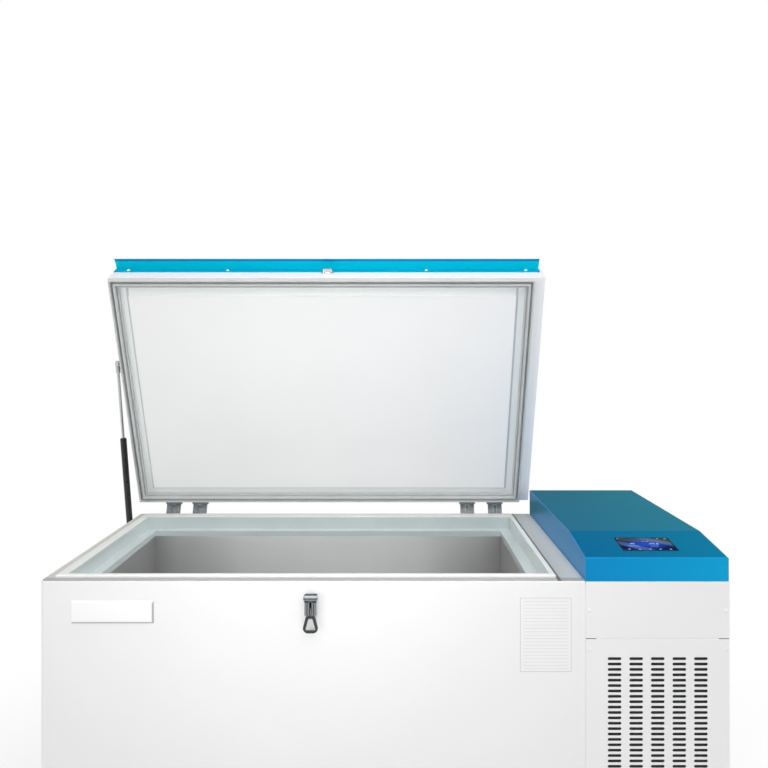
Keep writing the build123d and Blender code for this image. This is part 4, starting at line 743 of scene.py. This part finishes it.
def add_cards(scene):
    """Streaked cards that only reflections see: one low in front, two behind the freezer, in metres."""
    for name, x, y, width, low, high, tone in (
        ("front_card", -0.25, -2.3, 1.3, 0.05, 1.1, (0.42, 0.42, 0.42)),
        ("back_card", 0.0, 3.0, 8.0, 0.05, 2.4, (0.26, 0.36, 0.02)),
        ("high_back_card", 0.0, 3.0, 8.0, 2.4, 5.4, (0.0, 0.02, 0.06)),
    ):
        bm = bmesh.new()
        bmesh.ops.create_grid(bm, x_segments=1, y_segments=1, size=0.5)
        bmesh.ops.scale(bm, vec=(width, high - low, 1), verts=bm.verts)
        bmesh.ops.rotate(bm, cent=(0, 0, 0), matrix=Matrix.Rotation(math.pi / 2, 3, "X"), verts=bm.verts)
        bmesh.ops.translate(bm, vec=(x, y, (low + high) / 2), verts=bm.verts)
        mesh = bpy.data.meshes.new(name)
        bm.to_mesh(mesh)
        bm.free()
        card = bpy.data.objects.new(name, mesh)
        scene.collection.objects.link(card)
        material, tree, place = new_material(name)
        bands = add_node(tree, "TexWave", {"Vector": place, "Scale": per_metre(170), "Distortion": 1.5})
        streaks = ((0.25, shade(tone, 0.05)), (0.75, tone))
        level = add_node(tree, "ValToRGB", {"Fac": bands.outputs["Fac"]}, streaks)
        glow = add_node(tree, "Emission", {"Color": level.outputs["Color"], "Strength": 1.0})
        add_node(tree, "OutputMaterial", {"Surface": glow.outputs["Emission"]})
        mesh.materials.append(material)
        for ray in ("camera", "diffuse", "transmission", "volume_scatter", "shadow"):
            setattr(card, "visible_" + ray, False)


def add_floor(scene):
    """Pale round floor that fades to white away from the freezer."""
    bm = bmesh.new()
    bmesh.ops.create_circle(bm, radius=40.0, segments=64, cap_ends=True)
    mesh = bpy.data.meshes.new("floor")
    bm.to_mesh(mesh)
    bm.free()
    floor = bpy.data.objects.new("floor", mesh)
    scene.collection.objects.link(floor)
    material, tree, place = new_material("pale_studio_floor")
    speck = add_node(tree, "TexNoise", {"Vector": place, "Scale": per_metre(400)})
    tones = ((0.3, (0.9, 0.9, 0.9)), (0.7, (0.93, 0.93, 0.93)))
    tone = add_node(tree, "ValToRGB", {"Fac": speck.outputs["Fac"]}, tones)
    matt = add_node(tree, "BsdfDiffuse", {"Color": tone.outputs["Color"]})
    shine = seen_or_mirrored(tree)
    # Near the freezer the floor keeps its shadow and is only lifted towards white
    lift = add_node(tree, "Math", {0: shine, 1: 0.27}, operation="MULTIPLY")
    lit = add_node(tree, "Emission", {"Color": rgba((1, 1, 1)), "Strength": lift.outputs["Value"]})
    near = add_node(tree, "AddShader", {0: matt.outputs["BSDF"], 1: lit.outputs["Emission"]})
    white = add_node(tree, "Emission", {"Color": rgba((1, 1, 1)), "Strength": shine})
    reach = add_node(tree, "VectorMath", {0: place}, operation="LENGTH")
    fade = add_node(
        tree, "MapRange", {"Value": reach.outputs["Value"], "From Min": 0.9, "From Max": 2.4},
        interpolation_type="SMOOTHSTEP",
    )
    far = add_node(tree, "MixShader", {0: shine, 1: matt.outputs["BSDF"], 2: white.outputs["Emission"]})
    mix = add_node(
        tree, "MixShader",
        {0: fade.outputs["Result"], 1: near.outputs["Shader"], 2: far.outputs["Shader"]},
    )
    add_node(tree, "OutputMaterial", {"Surface": mix.outputs["Shader"]})
    mesh.materials.append(material)


class FREEZER_OT_finishes(bpy.types.Operator):
    """Gives every part of the frame its finish"""

    bl_idname = "freezer.finishes"
    bl_label = "Finishes of the Frame"

    def execute(self, context):
        table = dict(NODE_FINISH)
        table["zinc"] += tuple("caster_fork_" + corner for corner in CORNERS)
        table["tread"] = tuple("caster_wheel_" + corner for corner in CORNERS)
        for name, nodes in table.items():
            for node in nodes:
                mesh = frame["nodes"][node].data
                mesh.materials.clear()
                mesh.materials.append(finish(name))
        bare = set(frame["nodes"]) - {node for nodes in table.values() for node in nodes}
        if bare:
            raise RuntimeError("no finish for " + ", ".join(sorted(bare)))
        return {"FINISHED"}


class FREEZER_OT_lid_seal(bpy.types.Operator):
    """Bellows seal round the lid's underside"""

    bl_idname = "freezer.lid_seal"
    bl_label = "Lid Seal"

    def execute(self, context):
        low, high = shut_box("lid_gasket")
        bm = bmesh.new()
        tip = low.z
        root = high.z
        base = root - 8.2 * MM
        wide = 25 * MM

        def lip(start, end):
            """Rounded bellows lip between two distances in from the seal's edge."""
            mid = (start + end) / 2
            round_off = (end - start) * 0.28
            shoulder, crown = tip + 3.5 * MM, tip + 0.6 * MM
            return [
                (start, base - MM), (start + 0.6 * MM, shoulder), (mid - round_off, crown), (mid, tip),
                (mid + round_off, crown), (end - 0.6 * MM, shoulder), (end, base - MM),
            ]

        def channel(start, end):
            """Narrow channel beside a lip."""
            mouth, floor = base - 0.2 * MM, base + 5 * MM
            return [(start, mouth), (start + 0.3 * MM, floor), (end - 0.3 * MM, floor), (end, mouth)]

        outline = [(0, root), (0, base)] + lip(0.3 * MM, 7.3 * MM) + channel(7.5 * MM, 11.6 * MM)
        outline += lip(11.8 * MM, 19.0 * MM) + channel(19.2 * MM, 21.4 * MM)
        outline += [(wide, base), (wide, root)]
        add_mitred_ring(bm, outline, low, high)
        bmesh.ops.transform(bm, matrix=OPEN_LID, verts=bm.verts)
        finish_piece("lid_bellows_seal", bm, finish("seal"), "lid", 50.0, ("lid_gasket",))
        return {"FINISHED"}


class FREEZER_OT_lid_fasteners(bpy.types.Operator):
    """Screws and rivets of the lid's grip, and the screws and webs of its hinges"""

    bl_idname = "freezer.lid_fasteners"
    bl_label = "Lid Fasteners"

    def execute(self, context):
        low, high = shut_box("lid_handle_trim")
        shell = shut_box("lid_shell")[0]
        # The grip's sheet stands this far in front of the lid
        face = shell.y - 1.5 * MM
        bm = bmesh.new()
        ends = 38 * MM
        count = 5
        for number in range(count):
            x = low.x + ends + number * (high.x - low.x - 2 * ends) / (count - 1)
            add_screw(bm, (x, face, shell.z + 59 * MM), (0, -1, 0), 4.4 * MM)
        bmesh.ops.transform(bm, matrix=OPEN_LID, verts=bm.verts)
        finish_piece("grip_screws", bm, finish("rim_rail"), "lid")
        bm = bmesh.new()
        crown = shell.z + 76 * MM
        for x in (low.x + ends, high.x - ends):
            point = (x, shell.y - 15 * MM, crown - 2.8 * MM)
            outline = [(2.4 * MM, -0.3 * MM), (2.3 * MM, 0.5 * MM), (1.4 * MM, 1.1 * MM), (0, 1.3 * MM)]
            add_turned(bm, outline, facing(point, (0, 0.2, 1)), 16)
        bmesh.ops.transform(bm, matrix=OPEN_LID, verts=bm.verts)
        finish_piece("grip_rivets", bm, finish("zinc"), "lid")
        middles = island_middles(frame["nodes"]["hinge_lower_leaves"].data)
        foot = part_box("hinge_lower_leaves")[0].z
        bm = self.leaf_screws(middles, (foot + 10 * MM, foot + 42 * MM))
        finish_piece("hinge_screws_on_cabinet", bm, finish("chrome"), "cabinet")
        self.webs(middles)
        top = shut_box("hinge_upper_leaves")[1].z
        bm = self.leaf_screws(middles, (top - 9 * MM, top - 34 * MM))
        bmesh.ops.transform(bm, matrix=OPEN_LID, verts=bm.verts)
        finish_piece("hinge_screws_on_lid", bm, finish("chrome"), "lid")
        return {"FINISHED"}

    def leaf_screws(self, middles, heights):
        """Four screws in the leaf of each hinge."""
        bm = bmesh.new()
        for x in middles:
            for dx in (-13 * MM, 13 * MM):
                for z in heights:
                    add_screw(bm, (x + dx, Y_BACK + 2.5 * MM, z), (0, 1, 0), 3.4 * MM)
        return bm

    def webs(self, middles):
        """Plain web between the two lower arms of each hinge, from the cabinet up to the pin."""
        bm = bmesh.new()
        foot = Vector((0, Y_BACK + 1.2 * MM, TOP_Z - 8 * MM))
        rise = Vector((0, HINGE.y, HINGE.z)) - foot
        knuckle = 6.6 * MM
        reach = rise.length - knuckle
        lean = Matrix.Rotation(-math.atan2(rise.y, rise.z), 4, "X")
        for x in middles:
            web = add_block(bm, (-4.9 * MM, -1.1 * MM, 0), (4.9 * MM, 1.1 * MM, reach), 0.3 * MM, 2)
            bmesh.ops.transform(bm, matrix=Matrix.Translation((x, foot.y, foot.z)) @ lean, verts=web)
        finish_piece("hinge_webs", bm, finish("dark_chrome"), "cabinet")


def island_middles(mesh):
    """Middle X of each group of like solids that stand apart along X."""
    xs = sorted({round(v.co.x, 4) for v in mesh.vertices})
    groups = [[xs[0]]]
    for x in xs[1:]:
        if x - groups[-1][-1] > 20 * MM:
            groups.append([])
        groups[-1].append(x)
    return [(group[0] + group[-1]) / 2 for group in groups]


class FREEZER_OT_front_plates(bpy.types.Operator):
    """Bare nameplate and blank service card on the cabinet's front"""

    bl_idname = "freezer.front_plates"
    bl_label = "Front Plates"

    def execute(self, context):
        sizes = context.scene.freezer_sizes
        x0 = X_LEFT + sizes.plate_x
        z1 = TOP_Z - sizes.plate_down
        bm = bmesh.new()
        # Its edges slope for their whole thickness, and the lower and right ones take a grey, which is
        # painted shade on the edges turned from the light
        thick, slope = 3.4 * MM, 3.8 * MM
        foot = [(0, 0.2 * MM), (0, -0.6 * MM), (slope, -thick)]
        rings = []
        for inset, y in foot:
            left, right = x0 + inset, x0 + sizes.plate_w - inset
            low, high = z1 - sizes.plate_h + inset, z1 - inset
            corners = ((left, low), (right, low), (right, high), (left, high))
            rings.append([bm.verts.new((x, Y_FRONT + y, z)) for x, z in corners])
        for inner, outer in zip(rings, rings[1:]):
            for side in range(4):
                after = (side + 1) % 4
                bm.faces.new((inner[side], inner[after], outer[after], outer[side]))
        bm.faces.new(rings[-1])
        bm.faces.new(rings[0][::-1])
        edges = [edge for edge in bm.edges if not all(v in rings[0] for v in edge.verts)]
        bmesh.ops.bevel(bm, geom=edges, offset=0.4 * MM, segments=2, profile=0.5, affect="EDGES", material=-1)
        plate = finish_piece("bare_nameplate", bm, finish("rim_rail"), "cabinet", 20.0)
        plate.data.materials.append(finish("seat"))
        for face in plate.data.polygons:
            face.material_index = int(max(face.normal.x, -face.normal.z) > 0.4)
        self.card(sizes)
        return {"FINISHED"}

    def card(self, sizes):
        """Thin film with a printed frame and ruled lines, left blank."""
        x0 = X_LEFT + sizes.card_x
        z1 = TOP_Z - sizes.card_down
        x1, z0 = x0 + sizes.card_w, z1 - sizes.card_h
        film = Y_FRONT - 0.25 * MM
        bm = bmesh.new()
        add_block(bm, (x0, film, z0), (x1, Y_FRONT + 0.1 * MM, z1), 0.1 * MM, 1)
        finish_piece("service_card_film", bm, finish("vinyl"), "cabinet")
        bm = bmesh.new()
        line = 0.7 * MM
        top = film - 0.08 * MM
        for low, high in (
            ((x0, z0), (x1, z0 + line)), ((x0, z1 - line), (x1, z1)),
            ((x0, z0 + line), (x0 + line, z1 - line)), ((x1 - line, z0 + line), (x1, z1 - line)),
        ):
            add_block(bm, (low[0], top, low[1]), (high[0], film + 0.02 * MM, high[1]))
        rows = int(sizes.card_h / (7.6 * MM))
        for row in range(rows):
            z = z1 - 8 * MM - row * (sizes.card_h - 14 * MM) / (rows - 1)
            add_block(bm, (x0 + 7 * MM, top, z), (x1 - 7 * MM, film + 0.02 * MM, z + line * 0.6))
        finish_piece("service_card_lines", bm, finish("ink"), "cabinet", 0)


class FREEZER_OT_display(bpy.types.Operator):
    """Lit picture of the touch panel, with plain numbers and marks"""

    bl_idname = "freezer.display"
    bl_label = "Display"

    def execute(self, context):
        module_low, module_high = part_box("display_module")
        middle = (SCREEN_LOW + SCREEN_HIGH) / 2
        edge = 1 * MM
        half_w = (module_high.x - module_low.x) / 2 - edge
        half_d = 75.5 * MM / 2 - edge
        # The glass stands this far off the slope, measured square to it
        glass_up = 1.55 * MM
        point = middle_of_slope(middle.x, middle.y, glass_up / math.cos(SLOPE_TILT))
        place = Matrix.Translation(point) @ Matrix.Rotation(SLOPE_TILT, 4, "X")
        bm = bmesh.new()
        add_block(bm, (-half_w, -half_d, -1.2 * MM), (half_w, half_d, -0.55 * MM), 0.2 * MM, 2)
        bmesh.ops.transform(bm, matrix=place, verts=bm.verts)
        finish_piece("display_picture", bm, finish("screen"), "cabinet")
        self.marks(place)
        return {"FINISHED"}

    def marks(self, place):
        """Plain numbers, a few short bars and five round keys, in millimetres from the middle."""
        bm = bmesh.new()
        top = -0.5 * MM
        thick = 0.1 * MM
        for text, x, y, size in (
            ("-80", -31, 1, 9.5), ("-79.6", 17, 0, 12.0), ("1 2 : 0 0", 2, 15.5, 5.0),
        ):
            add_text(bm, text, x * MM, y * MM, size * MM, top)
        for x, y, wide in ((-31, -13, 24), (16, -13.5, 18), (-56, 32, 4), (36, 32.5, 5), (54, 32.5, 6)):
            low = ((x - wide / 2) * MM, (y - 0.5) * MM, top - thick)
            add_block(bm, low, ((x + wide / 2) * MM, (y + 0.5) * MM, top))
        inner, outer = 1.2 * MM, 2.3 * MM
        ring = [(inner, 0), (inner, thick), (outer, thick), (outer, 0), (inner, 0)]
        for number in range(5):
            key = Matrix.Translation(((number - 2) * 23 * MM, -32.5 * MM, top - thick))
            add_turned(bm, ring, key, 20)
        bmesh.ops.transform(bm, matrix=place, verts=bm.verts)
        finish_piece("display_marks", bm, finish("lit_marks"), "cabinet", 0)


def middle_of_slope(x, y, up):
    """Point over the cover's slope at that X and Y."""
    z = TOP_Z + COVER_FRONT_UP + (y - Y_FRONT) * SLOPE_RISE / SLOPE_RUN
    return Vector((x, y, z + up))


def add_text(bm, text, x, y, size, top):
    """Plain numbers as a thin raised mesh, centred at a point."""
    curve = bpy.data.curves.new("numbers", "FONT")
    curve.body = text
    curve.size = size
    curve.extrude = 0.05 * MM
    curve.align_x = "CENTER"
    curve.align_y = "CENTER"
    curve.resolution_u = 3
    holder = bpy.data.objects.new("numbers", curve)
    mesh = bpy.data.meshes.new_from_object(holder)
    before = set(bm.verts)
    bm.from_mesh(mesh)
    added = [v for v in bm.verts if v not in before]
    bmesh.ops.translate(bm, vec=(x, y, top - 0.05 * MM), verts=added)
    bpy.data.objects.remove(holder)
    bpy.data.curves.remove(curve)
    bpy.data.meshes.remove(mesh)


class FREEZER_OT_machine_fasteners(bpy.types.Operator):
    """Screw caps, seam strips and filter pad of the machine section's front, screws of its side and back"""

    bl_idname = "freezer.machine_fasteners"
    bl_label = "Machine Section Fasteners"

    def execute(self, context):
        sizes = context.scene.freezer_sizes
        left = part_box("upper_front_panel")[0].x
        self.caps(left, sizes.cap_r)
        self.strips_and_pad(left)
        self.screws(sizes.screw_r)
        return {"FINISHED"}

    def caps(self, left, radius):
        """Caps over the front's screws, in a column near each edge."""
        bm = bmesh.new()
        cap = [(radius, -0.3 * MM), (radius, 0.7 * MM), (radius * 0.8, 1.4 * MM), (0, 1.7 * MM)]
        drops = (63 * MM, 148 * MM, 480 * MM, TOP_Z - BASE_Z - 34 * MM)
        for x in (left + 9 * MM, X_RIGHT - 9 * MM):
            for drop in drops:
                add_turned(bm, cap, facing((x, Y_FRONT, TOP_Z - drop), (0, -1, 0)), 20)
        finish_piece("front_screw_caps", bm, finish("powder_coat"), "cabinet")

    def strips_and_pad(self, left):
        """White strips behind the front's seams, and the intake's charcoal filter pad behind the slots, dark
        also to stand in for the shade inside them.
        """
        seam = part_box("front_grille_panel")[1].z
        behind = Y_FRONT + 1.3 * MM
        bm = bmesh.new()
        low = (left + 3 * MM, behind, seam - 7 * MM)
        high = (X_RIGHT - 3 * MM, behind + MM, seam + 9 * MM)
        add_block(bm, low, high, 0.2 * MM, 2)
        low = (X_SEAM + 0.1 * MM, behind, BASE_Z + 6 * MM)
        high = (left - 0.1 * MM, behind + 9 * MM, TOP_Z - 6 * MM)
        add_block(bm, low, high)
        finish_piece("front_seam_strips", bm, finish("rim_rail"), "cabinet", 0)
        bm = bmesh.new()
        front, thick, edge = Y_FRONT + 2.6 * MM, 4 * MM, 16 * MM
        low = (left + edge, front, BASE_Z + 12 * MM)
        high = (X_RIGHT - edge, front + thick, seam - 24 * MM)
        add_block(bm, low, high, MM)
        finish_piece("intake_filter_pad", bm, finish("filter_foam"), "cabinet")

    def screws(self, radius):
        """Pan heads in the right side, the two back panels and the cover's back."""
        bm = bmesh.new()
        low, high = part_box("right_side_panel")
        edge, count = 40 * MM, 4
        for y in (low.y + 12 * MM, high.y - 12 * MM):
            for step in range(count):
                z = BASE_Z + edge + step * (TOP_Z - BASE_Z - 2 * edge) / (count - 1)
                add_screw(bm, (X_RIGHT, y, z), (1, 0, 0), radius)
        low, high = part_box("power_entry_panel")
        seam = high.z
        for x in (low.x + 12 * MM, high.x - 12 * MM):
            for z in (low.z + 20 * MM, seam - 20 * MM, seam + 22 * MM, (seam + TOP_Z) / 2, TOP_Z - edge):
                add_screw(bm, (x, Y_BACK, z), (0, 1, 0), radius)
        for x in (COVER_LOW.x + 30 * MM, (COVER_LOW.x + COVER_HIGH.x) / 2, COVER_HIGH.x - 30 * MM):
            add_screw(bm, (x, Y_BACK, TOP_Z + 14 * MM), (0, 1, 0), radius)
        finish_piece("panel_screws", bm, finish("zinc"), "cabinet")


class FREEZER_OT_latch_details(bpy.types.Operator):
    """Rivets of the latch's base and of the keeper"""

    bl_idname = "freezer.latch_details"
    bl_label = "Latch Details"

    def execute(self, context):
        bm = bmesh.new()
        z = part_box("latch_base")[0].z + 3.4 * MM
        outline = [(2.4 * MM, -0.3 * MM), (2.2 * MM, 0.6 * MM), (1.3 * MM, 1.3 * MM), (0, 1.5 * MM)]
        for x in (-8.6 * MM, 8.6 * MM):
            add_turned(bm, outline, facing((LATCH.x + x, Y_FRONT - 2 * MM, z), (0, -1, 0)), 18)
        finish_piece("latch_rivets", bm, finish("chrome"), "cabinet")
        low, high = shut_box("lid_catch")
        bm = bmesh.new()
        outline = [(2.0 * MM, -0.3 * MM), (1.8 * MM, 0.5 * MM), (0, 1.0 * MM)]
        for x in (low.x + 8 * MM, high.x - 8 * MM):
            add_turned(bm, outline, facing((x, high.y - 3 * MM, low.z + 3 * MM), (0, -1, 0)), 18)
        bmesh.ops.transform(bm, matrix=OPEN_LID, verts=bm.verts)
        finish_piece("keeper_rivets", bm, finish("chrome"), "lid")
        return {"FINISHED"}


class FREEZER_OT_gas_spring_details(bpy.types.Operator):
    """Wiper ring at the gas spring's mouth"""

    bl_idname = "freezer.gas_spring_details"
    bl_label = "Gas Spring Details"

    def execute(self, context):
        stroke = joint("gas_spring_stroke")
        way = Vector(stroke["axis"]).normalized()
        foot = Vector(joint("gas_spring_swing")["pos_m"])
        mouth = foot + way * MOUTH_REACH
        bm = bmesh.new()
        outline = [
            (4.3 * MM, 3.2 * MM), (6.0 * MM, 3.2 * MM), (7.6 * MM, 1.6 * MM), (8.6 * MM, -0.3 * MM),
            (8.6 * MM, -1.0 * MM), (4.3 * MM, -1.0 * MM), (4.3 * MM, 3.2 * MM),
        ]
        add_turned(bm, outline, facing(mouth, way), 32)
        finish_piece("gas_spring_wiper", bm, finish("dark_rubber"), "gas_spring_tube")
        return {"FINISHED"}


class FREEZER_OT_wheel_caps(bpy.types.Operator):
    """Pressed hub discs of the casters and the nuts on their axles"""

    bl_idname = "freezer.wheel_caps"
    bl_label = "Wheel Caps"

    def execute(self, context):
        inner, outer, sunk = 12 * MM, 26.5 * MM, -0.4 * MM
        disc = [
            (inner, 0), (13.5 * MM, 1.2 * MM), (20 * MM, 1.6 * MM), (outer, 0.6 * MM),
            (outer, sunk), (inner, sunk), (inner, 0),
        ]
        disc_out, nut_out = 8.4 * MM, 19.2 * MM
        for corner in CORNERS:
            hub = Vector(joint("caster_roll_" + corner)["pos_m"])
            wheel, fork = "caster_roll_" + corner, "caster_swivel_" + corner
            bm = bmesh.new()
            for side in (-1, 1):
                add_turned(bm, disc, facing(hub + Vector((side * disc_out, 0, 0)), (side, 0, 0)), 32)
            finish_piece("hub_discs_" + corner, bm, finish("grey_abs"), wheel)
            bm = bmesh.new()
            for side in (-1, 1):
                add_nut(bm, hub + Vector((side * nut_out, 0, 0)), (side, 0, 0), 6.5 * MM, 3.4 * MM)
            finish_piece("axle_nuts_" + corner, bm, finish("zinc"), fork)
        return {"FINISHED"}


def add_nut(bm, point, out, radius, tall):
    """Hexagon nut with its upper corners rounded off."""
    made = bmesh.ops.create_cone(
        bm, cap_ends=True, segments=6, radius1=radius, radius2=radius, depth=tall
    )["verts"]
    top = [e for v in made for e in v.link_edges if all(w.co.z > 0 for w in e.verts)]
    out_geom = bmesh.ops.bevel(
        bm, geom=list(set(top)), offset=radius * 0.1, segments=2, profile=0.5, affect="EDGES", material=-1
    )
    verts = spread({v for f in out_geom["faces"] for v in f.verts})
    bmesh.ops.translate(bm, vec=(0, 0, tall / 2), verts=list(verts))
    bmesh.ops.transform(bm, matrix=facing(point, out), verts=list(verts))


class FREEZER_PT_panel(bpy.types.Panel):
    """Lists the operators and the settings"""

    bl_idname = "FREEZER_PT_panel"
    bl_label = "Chest Freezer"
    bl_space_type = "VIEW_3D"
    bl_region_type = "UI"
    bl_category = "Freezer"

    def draw(self, context):
        for operator in OPERATORS:
            self.layout.operator(operator.bl_idname)
        for name in GROUPS:
            group = getattr(context.scene, name)
            box = self.layout.box()
            for setting in group.bl_rna.properties.keys():
                if setting not in ("rna_type", "name"):
                    box.prop(group, setting)


OPERATORS = (
    FREEZER_OT_stage,
    FREEZER_OT_finishes,
    FREEZER_OT_lid_seal,
    FREEZER_OT_lid_fasteners,
    FREEZER_OT_front_plates,
    FREEZER_OT_display,
    FREEZER_OT_machine_fasteners,
    FREEZER_OT_latch_details,
    FREEZER_OT_gas_spring_details,
    FREEZER_OT_wheel_caps,
)
GROUPS = {
    "freezer_colours": FreezerColours,
    "freezer_sizes": FreezerSizes,
    "freezer_stage": FreezerStage,
}


def register():
    """Registers the settings, the operators and the panel."""
    for name, group in GROUPS.items():
        bpy.utils.register_class(group)
        setattr(bpy.types.Scene, name, bpy.props.PointerProperty(type=group))
    for operator in OPERATORS:
        bpy.utils.register_class(operator)
    bpy.utils.register_class(FREEZER_PT_panel)


def unregister():
    """Takes away what register added, in the opposite order."""
    bpy.utils.unregister_class(FREEZER_PT_panel)
    for operator in reversed(OPERATORS):
        bpy.utils.unregister_class(operator)
    for name, group in GROUPS.items():
        delattr(bpy.types.Scene, name)
        bpy.utils.unregister_class(group)


def main():
    """Builds everything: registers the settings and runs every operator."""
    register()
    for operator in OPERATORS:
        group, name = operator.bl_idname.split(".")
        getattr(getattr(bpy.ops, group), name)()


if __name__ == "__main__":
    main()
